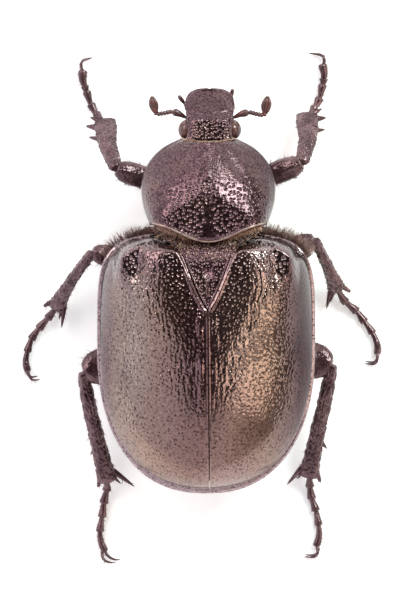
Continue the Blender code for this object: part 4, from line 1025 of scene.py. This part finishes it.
# Dark wine-brown chitin, worn smooth on its edges and roughened by pits that hold the hairs.
blotch = noise(tree, place, 1.1, 4.0, 0.6)
hue = ramp(tree, blotch, ((0.3, "#452D31"), (0.52, "#60454A"), (0.72, "#7C6062")))
dents = ramp(tree, scattered_dots(tree, place, 5.0, 1.0), ((0.0, 0.0), (0.4, 1.0)))
dents = bump(tree, dents, 0.04, 0.6)
gloss = rescale(tree, blotch, 0.0, 1.0, 0.08, 0.22)
fill(tree, shader, {"Base Color": hue, "Metallic": 0.6, "Roughness": gloss, "Coat Weight": 0.2,
                    "Coat Roughness": 0.12,
                    "Normal": bump(tree, noise(tree, place, 8.0, 3.0), 0.02, 0.4, dents)})

amber, tree, shader, place = new_finish("red_brown_chitin")
# Thinner chitin of feelers and palps, where light passes and gives a red-brown glow.
hue = ramp(tree, noise(tree, place, 2.2, 3.0), ((0.3, "#3E2428"), (0.55, "#56302F"), (0.75, "#80403C")))
fill(tree, shader, {"Base Color": hue, "Roughness": 0.30, "Coat Weight": 0.4, "Coat Roughness": 0.2,
                    "Normal": bump(tree, noise(tree, place, 7.0, 3.0), 0.02, 0.5)})

# %% [markdown]
# ## Feelers, palps and mouth
# Each feeler has a swollen first joint, a stalk of small beads and a club of three leaves that fold
# together like the pages of a book. The bead and the leaf are drawn once and copied.

# %% Rods for the feelers and the mouth
scape_rod = draw_rod("scape", ((0.0, 0.10, 0.10), (0.12, 0.15, 0.14), (0.45, 0.22, 0.20), (0.72, 0.33, 0.28),
                               (0.90, 0.28, 0.25), (1.0, 0.12, 0.12)), 10)
bead_rod = draw_rod("bead", ((0.0, 0.09, 0.09), (0.15, 0.12, 0.12), (0.5, 0.17, 0.16), (0.82, 0.18, 0.17),
                             (1.0, 0.09, 0.09)), 8)
leaf_rod = draw_rod("leaf", ((0.0, 0.07, 0.08), (0.12, 0.14, 0.22), (0.35, 0.19, 0.36), (0.62, 0.19, 0.38),
                             (0.84, 0.13, 0.28), (1.0, 0.03, 0.06)), 10)
palp_rod = draw_rod("palp_joint", ((0.0, 0.08, 0.08), (0.15, 0.13, 0.13), (0.55, 0.17, 0.16),
                                   (0.85, 0.15, 0.15), (1.0, 0.06, 0.06)), 8)
lip_rod = draw_rod("lip", ((0.0, 0.75, 0.22), (0.2, 1.1, 0.34), (0.55, 1.15, 0.34), (0.85, 0.85, 0.28),
                           (1.0, 0.45, 0.15)), 14)
jaw_rod = draw_rod("jaw", ((0.0, 0.34, 0.24), (0.3, 0.36, 0.24), (0.7, 0.24, 0.18), (0.92, 0.12, 0.1),
                           (1.0, 0.03, 0.03)), 10)

# %% Lay the feelers and the palps
FEELERS = {
    "antenna_left": (-1, (-2.6, 14.5, 6.4), (-3.72, 14.3, 6.4), (-4.1, 15.65, 6.7), 0.17),
    "antenna_right": (1, (3.12, 14.45, 6.4), (4.2, 14.22, 6.4), (4.5, 15.66, 6.7), 0.2),
}
STALK_BEADS = 6


def middle_of(near, far, shift=(0, 0, 0)):
    return (np.array(near) + far) / 2 + shift


for name, (side, scape_end, neck, tip, spread) in FEELERS.items():
    root = (side * 1.75 + HEAD_SHIFT, 14.02, 6.3)
    pieces = [lay(scape_rod, name, (root, middle_of(root, scape_end, (0, 0.06, 0)), scape_end))]
    stalk = soft_path((scape_end, middle_of(scape_end, neck, (0, -0.03, 0)), neck,
                       (neck[0] + side * 0.16, neck[1] + 0.12, neck[2] + 0.05)), STALK_BEADS + 1)
    for near, far in zip(stalk, stalk[1:]):
        pieces.append(lay(bead_rod, name, (near - (far - near) * 0.2, (near + far) / 2, far), 1.25))
    foot = stalk[-1] + np.array((-side * 0.05, -0.08, 0))
    for page in (-1, 0, 1):
        bow = np.array((page * spread * 1.15, 0.0, 0.0))
        belly = (foot + np.array(tip)) / 2 + bow
        pieces.append(lay(leaf_rod, name, (foot + bow * 0.25, belly, np.array(tip) + bow * 0.3)))
    join(name + "_joints", pieces, amber, name, "red_brown_cuticle")

PALPS = {"palp_left": ((-0.9, 14.1, 4.1), (-2.14, 15.72, 4.9)),
         "palp_right": ((1.5, 14.25, 4.1), (1.92, 16.22, 4.9))}
for name, (root, tip) in PALPS.items():
    stops = soft_path((root, middle_of(root, tip, (0, 0, 0.1)), tip), 4)
    pieces = [lay(palp_rod, name, (near - (far - near) * 0.12, (near + far) / 2, far), thick)
              for near, far, thick in zip(stops, stops[1:], (1.2, 1.15, 1.15))]
    join(name + "_joints", pieces, amber, name, "red_brown_cuticle")

pieces = [lay(lip_rod, "lip", ((0.2, 13.2, 4.1), (0.2, 14.2, 4.05), (0.2, 15.6, 4.7)))]
for side in (-1, 1):
    pieces.append(lay(jaw_rod, "jaw", ((0.2 + side * 0.95, 13.9, 4.75), (0.2 + side * 1.0, 14.9, 4.95),
                                       (0.2 + side * 0.35, 15.65, 5.1)), 0.9, side))
join("mouth_joints", pieces, amber, "mouthparts", "red_brown_cuticle")

# %% [markdown]
# ## Legs
# Every leg has a hip joint in the body, a thick thigh, a shin that widens to its end with teeth and
# spurs, five small foot joints and two curved claws. The places of hip, knee, ankle and foot are
# those of the solids, so that the render's legs stand exactly in them.

# %% Places of the six legs, in millimetres
LEGS = {
    "front_left": {
        "coxa": (-1.45, 8.5, 3.35), "hip": (-2.2, 8.8, 3.05), "knee": (-6.78, 10.24, 4.8),
        "ankle": (-7.6, 13.9, 1.15), "bow": (-0.2, 0.0),
        "foot": ((-8.02, 14.1), (-8.22, 14.35), (-8.65, 15.07), (-8.98, 16.0), (-9.12, 16.42),
                 (-9.3, 17.0), (-9.27, 17.68)),
        "claws": (((-9.43, 18.17), (-9.24, 18.43), (-8.53, 18.62)), (0.02, -0.03)),
        "spikes": (((-8.2, 13.36), (-9.05, 13.48), 0.28), ((-8.1, 12.5), (-8.82, 12.64), 0.22),
                   ((-8.2, 13.9), (-8.74, 14.16), 0.18)),
    },
    "front_right": {
        "coxa": (1.45, 8.5, 3.35), "hip": (2.2, 8.8, 3.05), "knee": (7.1, 10.68, 4.8),
        "ankle": (7.45, 14.36, 1.15), "bow": (0.22, 0.0),
        "foot": ((7.8, 14.5), (8.0, 14.8), (8.39, 15.51), (8.63, 16.53), (8.72, 16.95),
                 (8.76, 17.5), (8.6, 18.15)),
        "claws": (((8.78, 18.40), (8.61, 18.79), (7.58, 18.97)), (-0.02, -0.03)),
        "spikes": (((8.1, 14.0), (8.92, 14.1), 0.28), ((8.1, 13.1), (8.82, 13.22), 0.22),
                   ((8.1, 14.5), (8.6, 14.8), 0.18)),
    },
    "mid_left": {
        "coxa": (-2.1, 2.6, 2.75), "hip": (-2.7, 2.75, 2.3), "knee": (-8.55, 4.02, 4.7),
        "ankle": (-11.2, 0.05, 1.15), "bow": (-0.1, 0.07),
        "foot": ((-11.35, -0.2), (-11.84, -0.82), (-12.53, -1.61), (-13.08, -2.38), (-13.41, -3.31),
                 (-13.55, -4.17), (-13.35, -4.9)),
        "claws": (((-13.21, -5.34), (-12.91, -5.51), (-12.44, -5.42)), (-0.15, 0.24)),
        "spikes": (((-10.65, 0.0), (-10.86, -1.6), 0.2), ((-10.85, 0.0), (-11.05, -1.0), 0.17)),
        "fingers": (((-11.5, 0.42), (-12.2, 0.02), 0.2),),
    },
    "mid_right": {
        "coxa": (2.1, 2.6, 2.75), "hip": (2.7, 2.75, 2.3), "knee": (8.02, 4.97, 4.7),
        "ankle": (9.65, 1.42, 1.15), "bow": (0.05, 0.03),
        "foot": ((9.82, 1.15), (10.32, 0.37), (11.13, -0.31), (11.73, -1.08), (12.35, -1.93),
                 (12.75, -2.9), (12.7, -3.62)),
        "claws": (((12.71, -4.05), (12.42, -4.32), (11.77, -4.24)), (0.03, 0.15)),
        "spikes": (((9.2, 1.1), (8.93, -0.18), 0.2), ((9.45, 1.1), (9.2, 0.3), 0.17)),
        "fingers": (((9.95, 1.6), (10.72, 1.1), 0.2),),
    },
    "hind_left": {
        "coxa": (-2.9, -2.75, 2.8), "hip": (-3.1, -3.2, 2.3), "knee": (-9.25, -4.85, 3.75),
        "ankle": (-7.45, -12.85, 1.15), "bow": (-0.1, 0.0),
        "foot": ((-7.46, -13.1), (-7.48, -13.65), (-7.7, -14.62), (-7.83, -15.65), (-8.0, -16.75),
                 (-7.93, -17.6), (-7.58, -18.35)),
        "claws": (((-7.42, -18.62), (-6.95, -18.90), (-6.42, -18.93)), (-0.36, -0.22)),
        "spikes": (((-6.95, -12.3), (-5.4, -13.46), 0.22), ((-7.1, -12.6), (-6.42, -13.25), 0.17),
                   ((-8.3, -10.5), (-8.7, -11.08), 0.2)),
        "fingers": (((-7.95, -12.4), (-8.12, -13.5), 0.2),),
    },
    "hind_right": {
        "coxa": (2.9, -2.75, 2.8), "hip": (3.1, -3.2, 2.3), "knee": (9.35, -4.3, 3.75),
        "ankle": (7.6, -12.5, 1.15), "bow": (0.0, 0.0),
        "foot": ((7.64, -12.8), (7.68, -13.37), (7.82, -14.28), (8.12, -15.19), (8.33, -16.27),
                 (8.38, -17.2), (8.12, -17.98)),
        "claws": (((8.26, -18.45), (7.96, -18.73), (7.19, -18.71)), (0.06, 0.16)),
        "spikes": (((7.1, -12.0), (5.97, -13.32), 0.22), ((7.25, -12.2), (6.72, -12.9), 0.17),
                   ((8.5, -10.1), (8.96, -10.62), 0.2)),
        "fingers": (((8.12, -12.0), (8.45, -13.1), 0.2),),
    },
}
for leg in LEGS.values():
    for joint in ("coxa", "hip", "knee", "ankle"):
        leg[joint] = np.array(leg[joint], float)

# %% Rods for the legs
LEG_LENGTHS = {"front": (4.8, 5.2), "mid": (6.0, 4.9), "hind": (6.3, 8.1)}      # thigh and shin, mm
THIGHS = {
    "front": ((0.0, 0.46, 0.42), (0.12, 0.64, 0.52), (0.45, 0.86, 0.60), (0.80, 0.88, 0.60),
              (0.93, 0.70, 0.52), (1.0, 0.42, 0.34)),
    "mid": ((0.0, 0.46, 0.42), (0.12, 0.64, 0.52), (0.45, 0.86, 0.60), (0.80, 0.86, 0.60),
            (0.93, 0.70, 0.52), (1.0, 0.42, 0.34)),
    "hind": ((0.0, 0.55, 0.42), (0.12, 0.90, 0.55), (0.42, 1.30, 0.68), (0.70, 1.44, 0.68),
             (0.86, 1.30, 0.60), (0.95, 0.95, 0.52), (1.0, 0.55, 0.38)),
}
SHINS = {
    "front": ((0.0, 0.34, 0.30), (0.06, 0.52, 0.40), (0.25, 0.60, 0.39), (0.50, 0.70, 0.36),
              (0.75, 0.82, 0.34), (0.94, 0.82, 0.32), (1.0, 0.74, 0.26)),
    "mid": ((0.0, 0.30, 0.28), (0.06, 0.40, 0.37), (0.30, 0.40, 0.36), (0.60, 0.46, 0.38),
            (0.85, 0.61, 0.40), (0.95, 0.70, 0.42), (1.0, 0.60, 0.34)),
    "hind": ((0.0, 0.28, 0.28), (0.05, 0.46, 0.42), (0.30, 0.52, 0.42), (0.60, 0.56, 0.44),
             (0.85, 0.67, 0.46), (0.95, 0.76, 0.48), (1.0, 0.64, 0.36)),
}
THIGH_KEELS = ((90, 0.06), (0, 0.04))
SHIN_KEELS = ((64, 0.12), (116, 0.12), (0, 0.06), (180, 0.06))
thigh_rods = {kind: draw_rod("thigh_" + kind, stations, 14, 2, THIGH_KEELS, 16)
              for kind, stations in THIGHS.items()}
shin_rods = {kind: draw_rod("shin_" + kind, stations, 14, 3, SHIN_KEELS, 18)
             for kind, stations in SHINS.items()}


def roughen(rod, length, depth, seed):
    """Pits and rows of grains all over a rod that will be laid to a length in mm."""
    place = points_of(rod)
    radius = np.maximum(np.hypot(place[:, 0], place[:, 1]), 0.02)
    around = np.arctan2(place[:, 0], -place[:, 1]) * np.mean(radius)
    along = place[:, 2] * length
    dip, number = pits(around, along, 0.26, 0.13, seed)
    rows = waves(around, along, 0.28, 0.8, seed + 1)
    grains = waves(around, along, 0.15, 0.2, seed + 2)
    calm = smooth(0.0, 0.06, place[:, 2]) * smooth(1.0, 0.95, place[:, 2])
    lift = calm * depth * (0.5 * rows + 0.45 * grains - dip * (number > 0.2))
    place[:, :2] *= (1 + lift / radius)[:, None]
    set_points(rod, place)


for i, kind in enumerate(LEG_LENGTHS):
    roughen(thigh_rods[kind], LEG_LENGTHS[kind][0], 0.035, 71 + 5 * i)
    roughen(shin_rods[kind], LEG_LENGTHS[kind][1], 0.075, 91 + 5 * i)
hip_rod = draw_rod("hip", ((0.0, 0.35, 0.35), (0.25, 0.72, 0.5), (0.7, 0.8, 0.5), (1.0, 0.4, 0.3)), 12, 2)
foot_rod = draw_rod("foot_joint", ((0.0, 0.15, 0.15), (0.14, 0.17, 0.16), (0.40, 0.20, 0.19),
                                   (0.68, 0.26, 0.24), (0.88, 0.31, 0.28), (0.98, 0.30, 0.27),
                                   (1.0, 0.20, 0.18)), 10)
claw_joint_rod = draw_rod("claw_joint", ((0.0, 0.14, 0.14), (0.15, 0.17, 0.16), (0.5, 0.22, 0.21),
                                         (0.82, 0.27, 0.26), (0.95, 0.26, 0.25), (1.0, 0.18, 0.18)), 10)
claw_rod = draw_rod("claw", ((0.0, 0.13, 0.15), (0.15, 0.16, 0.18), (0.4, 0.14, 0.16), (0.7, 0.10, 0.11),
                             (0.9, 0.055, 0.06), (1.0, 0.012, 0.012)), 8)
tooth_rod = draw_rod("tooth", ((0.0, 1.0, 1.0), (0.3, 0.86, 0.86), (0.65, 0.58, 0.58), (0.9, 0.30, 0.30),
                               (1.0, 0.08, 0.08)), 8)
finger_rod = draw_rod("finger", ((0.0, 1.0, 1.0), (0.3, 0.90, 0.90), (0.7, 0.72, 0.72), (0.95, 0.56, 0.56),
                                 (1.0, 0.40, 0.40)), 8)
print(len(masters), "rods drawn")

# %% Lay each leg
def shin_path(leg):
    knee, ankle = leg["knee"], leg["ankle"]
    rounding = 0.3 if leg.get("fingers") else 0.05
    past = (ankle - knee) / np.linalg.norm(ankle - knee) * rounding
    return knee + (0, 0, 0.05), (knee + ankle) / 2 + (*leg["bow"], 0.25), ankle + past


def thigh_path(leg):
    return leg["hip"], middle_of(leg["hip"], leg["knee"], (0, 0, 0.12)), leg["knee"]


def foot_path(leg):
    levels = [leg["ankle"][2] - 0.12, 0.64, 0.35] + [0.28] * (len(leg["foot"]) - 3)
    inside = leg["ankle"] * 0.6 + np.array((*leg["foot"][0], levels[0])) * 0.4
    return [tuple(inside), *[(x, y, z) for (x, y), z in zip(leg["foot"], levels)]]


def hip_path(kind, leg):
    place = leg["coxa"]
    side = np.sign(place[0])
    if kind == "front":
        return place + (-side * 0.5, -0.2, 1.2), place, place + (side * 0.45, 0.2, -0.6)
    reach = 1.3 if kind == "mid" else 2.6
    return (place + (-side * 1.3, 0.1, 0.2), place + (side * 0.2, 0, 0),
            place + (side * reach, -0.1, 0.25 * reach))


def lay_teeth(name, leg):
    """Teeth and spurs of a shin, rooted inside it."""
    knee, ankle = leg["knee"], leg["ankle"]
    made = []
    for number, (root, tip, radius) in enumerate((*leg["spikes"], *leg.get("fingers", ()))):
        rod = tooth_rod if number < len(leg["spikes"]) else finger_rod
        root, tip = np.array(root, float), np.array(tip, float)
        share = min(np.linalg.norm(root - knee[:2]) / np.linalg.norm(ankle[:2] - knee[:2]), 1.0)
        level = knee[2] + (ankle[2] - knee[2]) * share + share * (1 - share)
        inward = (root - tip) / np.linalg.norm(root - tip) * 0.4
        start = np.array([*(root + inward), level])
        end = np.array([*tip, max(level - 0.35, 0.42)])
        made.append(lay(rod, name, (start, (start + end) / 2 + (0, 0, 0.05), end), radius * 1.3))
    return made


FOOT_THICKNESS = (1.2, 1.2, 1.15, 1.1)
FOOT_POINTS = 400                   # along the path of a foot


def lay_foot(name, kind, leg):
    """Five joints along the foot and two claws at its end."""
    path = soft_path(foot_path(leg), FOOT_POINTS)
    joints = [int(np.argmin(np.hypot(path[:, 0] - x, path[:, 1] - y))) for x, y in leg["foot"][1:5]]
    stops = [0, *joints, FOOT_POINTS - 1]
    made = []
    for i, (first, last) in enumerate(zip(stops, stops[1:])):
        last = min(last + 8, FOOT_POINTS - 1)
        part = path[max(first - 14, 0):last + 1]
        part = part[np.linspace(0, len(part) - 1, 5).astype(int)]
        if i == 4:
            made.append(lay(claw_joint_rod, name, part, 1.4 if kind == "front" else 1.15))
        else:
            made.append(lay(foot_rod, name, part, FOOT_THICKNESS[i]))
    end, before = path[-1], unit((path[-1] - path[-12])[None])[0]
    arc, apart = leg["claws"]
    for share, level in ((0.0, 0.30), (1.0, 0.42)):
        shift = share * np.array((*apart, 0.0))
        heights = (level + 0.06, level, 0.12 + 0.1 * share)
        stops = [np.array((*point, height)) + shift for point, height in zip(arc, heights)]
        made.append(lay(claw_rod, name, (end - before * 0.25 + 0.4 * shift, *stops), 0.9))
    return made


def leg_piece(part, ending, leg_name, pieces):
    """One piece of a leg, which stands for its node."""
    node = part + "_" + leg_name
    return join(node + ending, pieces, legs_finish, node, "leg_cuticle")


for leg_name, leg in LEGS.items():
    kind, mirror = leg_name.split("_")[0], -1 if leg["hip"][0] < 0 else 1
    up = (0, 1, 0) if kind == "front" else (0, 0, 1)
    leg_piece("coxa", "_joint", leg_name, [lay(hip_rod, leg_name, hip_path(kind, leg), 1.0, mirror, up)])
    leg_piece("femur", "_thigh", leg_name, [lay(thigh_rods[kind], leg_name, thigh_path(leg), 1.0, mirror)])
    shin = [lay(shin_rods[kind], leg_name, shin_path(leg), 1.0, mirror), *lay_teeth(leg_name, leg)]
    leg_piece("tibia", "_shin", leg_name, shin)
    foot = leg_piece("tarsus", "_foot", leg_name, lay_foot(leg_name, kind, leg))
    place = points_of(foot)
    place[:, 2] = np.maximum(place[:, 2], 0.0)            # soles pressed flat on the floor
    set_points(foot, place)

for rod in masters:
    bpy.data.objects.remove(rod)
print("legs laid")

# %% [markdown]
# ## Hairs
# A hermit beetle is bald above, but fringed wherever two plates meet: orange bristles under the hind
# margin of the shield, pale ones on the collar and behind the head, brown fringes at the shoulders,
# and scattered bristles on legs and underside. Each hair is a bent spike of three sides. They are
# too many for hand work, so arrays give all the points at once, and each coat is one joined mesh.
# The second coordinate set, OFBake, gives every hair a patch of its own at its root's place.

# %% Finish of the hairs
def hair_finish(name, stops):
    """Horny bristle of one colour family, a little lighter and darker from place to place."""
    finish, tree, shader, place = new_finish(name)
    fill(tree, shader, {"Base Color": ramp(tree, noise(tree, place, 3.0, 2.0), stops), "Roughness": 0.38})
    return finish


# Bristles are thin horny spikes: light passes them, so the young ones glow orange, the old ones are brown.
orange_bristle = hair_finish("orange_bristle_chitin", ((0.32, "#B88A78"), (0.5, "#DCAE98"), (0.7, "#F4DCC8")))
brown_bristle = hair_finish("brown_bristle_chitin", ((0.32, "#6E4E4A"), (0.5, "#8E6C66"), (0.7, "#B89A90")))


# %% One coat from arrays
HAIR_RADIUS, HAIR_BEND = 0.020, 0.22
PATCH = 0.003                       # side of a hair's place on the unwrapped skin


def grow(name, roots, ways, lengths, wrap, finish, seed, radius=HAIR_RADIUS):
    """A coat of hairs. ways are the directions, wrap the places of the roots on the unwrapped skin."""
    rolls = np.random.default_rng(seed)
    count, ways = len(roots), unit(ways)
    side = unit(np.cross(ways, rolls.normal(size=(count, 3))))
    above = np.cross(ways, side)
    sway = side * (HAIR_BEND * lengths)[:, None]
    middle = roots + ways * (0.55 * lengths)[:, None] + 0.25 * sway
    points = np.empty((count, 7, 3))
    for k in range(3):
        spoke = side * math.cos(k * math.tau / 3) + above * math.sin(k * math.tau / 3)
        points[:, k] = roots + spoke * radius
        points[:, 3 + k] = middle + spoke * radius * 0.7
    points[:, 6] = roots + ways * lengths[:, None] + sway
    points[:, :, 2] = np.maximum(points[:, :, 2], 0.01)         # above the floor
    faces = [(k, (k + 1) % 3, (k + 1) % 3 + 3, k + 3) for k in range(3)]
    faces += [(k + 3, (k + 1) % 3 + 3, 6) for k in range(3)] + [(2, 1, 0)]
    mesh = bpy.data.meshes.new(name)
    all_faces = [tuple(7 * i + corner for corner in face) for i in range(count) for face in faces]
    mesh.from_pydata((points.reshape(-1, 3) * MM).tolist(), [], all_faces)
    coat = bpy.data.objects.new(name, mesh)
    bpy.context.scene.collection.objects.link(coat)
    patch = []                          # each corner's place in its hair's patch, across in thirds
    for k in range(3):
        patch += [(k, 0), (k + 1, 0), (k + 1, 0.5), (k, 0.5)]
    for k in range(3):
        patch += [(k, 0.5), (k + 1, 0.5), (k + 0.5, 1)]
    patch += [(2, 0), (1, 0), (0, 0)]
    places = np.asarray(wrap)[:, None, :] + (np.array(patch) / (3, 1) - 0.5) * PATCH
    layer = mesh.uv_layers.new(name="OFBake")
    layer.data.foreach_set("uv", places.astype(np.float32).ravel())
    mesh.materials.append(finish)
    for face in mesh.polygons:
        face.use_smooth = True
    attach(coat, "root")
    print(name, count, "hairs")


def round_body(roots):
    """Unwrap of the body: round it from the belly line, and along it."""
    turn = np.arctan2(roots[:, 0], -(roots[:, 2] - 6.5)) / math.tau + 0.5
    return np.stack([0.02 + 0.96 * turn, 0.02 + 0.96 * (roots[:, 1] + 14.0) / 31.0], axis=1)


def sow(piece, count, share, seed):
    """Roots and normals of hairs on the faces of a piece, as thick as share(places, normals)."""
    faces = piece.data.polygons
    centre, normal = read(faces, "center") / MM, read(faces, "normal")
    weight = read(faces, "area", 1)[:, 0] * np.clip(share(centre, normal), 0, None)
    pick = np.random.default_rng(seed).choice(len(faces), count, p=weight / weight.sum())
    return centre[pick] - 0.02 * normal[pick], normal[pick]

# %% Fringes between the plates
rolls = np.random.default_rng(301)


def spread(low, high, count):
    return rolls.uniform(low, high, count)


def fringe(count, x, y, z, way, jitter):
    """Roots at x, y, z and directions about way, each off by up to jitter."""
    roots = np.stack(np.broadcast_arrays(x, y, z), axis=1) + spread(-0.05, 0.05, (count, 3))
    ways = np.array(np.broadcast_arrays(*[np.asarray(part, float) * np.ones(count) for part in way])).T
    return roots, unit(ways + rolls.normal(size=(count, 3)) * jitter)


def on_shield(place, along, under):
    """Points on the shield; place is -1 to 1 across it, along 0 at its hind margin and 1 in front."""
    return shield_form((np.arcsin(place) * 2 / math.pi + 1) / 2, along, under).T


place = spread(-0.9, 0.9, 900)
edge = on_shield(place, spread(0.0, 0.02, 900), np.ones(900))
under_margin = fringe(900, *edge, (0.3 * place, -1.0, -0.3), 0.3)
place = spread(-0.95, 0.95, 420)
nape = fringe(420, *on_shield(place, np.ones(420), spread(0.2, 0.8, 420)), (0.0, 1.0, 0.3), 0.25)
collar_x = spread(-2.1, 2.1, 700)
collar_y = spread(3.6, 5.0, 700)
collar_z = np.interp(collar_y, triangle_level[:, 0], triangle_level[:, 1]) - 0.04
on_collar = fringe(700, collar_x, collar_y, collar_z, (0.1 * collar_x, -1.0, 0.35), 0.35)


def beside_collar(place, normal):
    """How thick hairs stand on the upper side between collar and shoulder."""
    aside, y = np.abs(place[:, 0]), place[:, 1]
    return (smooth(0.1, 0.4, normal[:, 2]) * smooth(1.5, 2.2, aside) * smooth(6.0, 5.3, aside)
            * smooth(4.2, 4.6, y) * smooth(6.4, 6.0, y))


beside = []
for piece, count in ((trunk, 900), (triangle, 350)):
    roots, normal = sow(piece, count, beside_collar, 303)
    outward = np.sign(roots[:, :1]) * np.array((0.5, 0.0, 0.0))
    ways = normal * 0.5 + np.array((0.0, -0.7, 0.0)) + outward + rolls.normal(size=normal.shape) * 0.3
    beside.append((roots, unit(ways)))
roots, ways = (np.concatenate(parts) for parts in zip(under_margin, nape, on_collar, *beside))
lengths = np.concatenate([spread(0.3, 0.7, 900), spread(0.08, 0.2, 420), spread(0.15, 0.3, 700),
                          spread(0.25, 0.55, 1250)])
grow("neck_bristles", roots, ways, lengths, round_body(roots), orange_bristle, 302, radius=0.016)

shoulder = []
for side, count in ((-1, 460), (1, 760)):
    x = spread(3.6, 7.5, count)
    ahead = (1 - (x / CASE_HALF_WIDTH) ** SHOULDER_SQUARENESS) ** (1 / SHOULDER_SQUARENESS)
    y = CASE_WIDEST_Y + CASE_FRONT_REACH * ahead
    way = (side * (0.25 + 0.15 * (x - 4.3)), 1.0, 0.15)
    shoulder.append(fringe(count, side * x, y - 0.1, 6.7 - spread(0.0, 0.7, count), way, 0.35))
roots, ways = (np.concatenate(parts) for parts in zip(*shoulder))
grow("shoulder_bristles", roots, ways, spread(0.45, 1.3, len(roots)), round_body(roots), brown_bristle, 303,
     radius=0.019)

# %% Hairs of the underside and the mouth
def lie_back(normal):
    """Directions that lie back along the body and stand off it a little."""
    flow = np.array((0.0, -1.0, 0.0)) + normal * normal[:, 1:2]
    return unit(unit(flow) + normal * 0.45 + rolls.normal(size=normal.shape) * 0.2)


def on_belly(place, normal):
    more = 0.25 + smooth(2.0, 6.0, np.abs(place[:, 0])) + 1.2 * smooth(-2.6, -1.0, place[:, 1])
    return smooth(-0.05, -0.5, normal[:, 2]) * more


def on_tail(place, normal):
    return smooth(-10.5, -12.5, place[:, 1]) * smooth(0.2, -0.2, normal[:, 1])


def on_throat(place, normal):
    return smooth(0.1, -0.4, normal[:, 2])


COATS = (("belly_bristles", trunk, 3200, on_belly, 0.3, 0.75),
         ("tail_bristles", trunk, 700, on_tail, 0.15, 0.35),
         ("throat_bristles", prothorax, 1100, on_throat, 0.3, 0.7))
for number, (name, piece, count, share, low, high) in enumerate(COATS):
    roots, normal = sow(piece, count, share, 304 + number)
    grow(name, roots, lie_back(normal), spread(low, high, count), round_body(roots), brown_bristle,
         310 + number)

lip_x = spread(-1.2, 1.2, 260)
roots, ways = fringe(260, lip_x + HEAD_SHIFT, 15.35 - 0.25 * lip_x ** 2, 5.0, (0.3 * lip_x, 1.0, -0.25), 0.25)
grow("lip_bristles", roots, ways, spread(0.25, 0.5, 260), round_body(roots), orange_bristle, 320)

# %% Hairs of the legs
STRIPS = 18                             # each piece of a leg has a strip of the unwrap to itself
legs_coat = []
for number, (leg_name, leg) in enumerate(LEGS.items()):
    parts = (("femur_" + leg_name + "_thigh", 150, leg["hip"], leg["knee"], 0.25, 0.6, 0.9),
             ("tibia_" + leg_name + "_shin", 190, leg["knee"], leg["ankle"], 0.15, 0.45, 0.45),
             ("tarsus_" + leg_name + "_foot", 80, leg["ankle"], (*leg["foot"][-1], 0.3), 0.15, 0.42, 0.3))
    for at, (piece, count, near, far, low, high, drop) in enumerate(parts):
        far = np.array(far, float)
        axis = unit((far - near)[None])[0]

        def share(place, normal):
            return 0.15 + smooth(0.5, -0.3, normal[:, 2]) * (1 + drop * (normal[:, 1] < 0))

        roots, normal = sow(bpy.data.objects[piece], count, share, 330 + 3 * number + at)
        ways = unit(normal * 0.7 + axis * 0.8 + rolls.normal(size=normal.shape) * 0.25)
        roots[:, 2] = np.maximum(roots[:, 2], 0.06)
        ways[:, 2] = np.maximum(ways[:, 2], (0.1 - roots[:, 2]) / high)       # none grows through the floor
        ahead = np.clip(((roots - near) @ axis) / np.linalg.norm(far - near), 0, 1)
        turn = np.arctan2(normal[:, 0], normal[:, 2]) / math.tau + 0.5
        wrap = np.stack([(3 * number + at + 0.1 + 0.8 * turn) / STRIPS, 0.02 + 0.96 * ahead], axis=1)
        legs_coat.append((roots, ways, spread(low, high, count), wrap))
roots, ways, lengths, wrap = (np.concatenate(parts) for parts in zip(*legs_coat))
grow("leg_bristles", roots, ways, lengths, wrap, brown_bristle, 350)

bpy.context.view_layer.update()
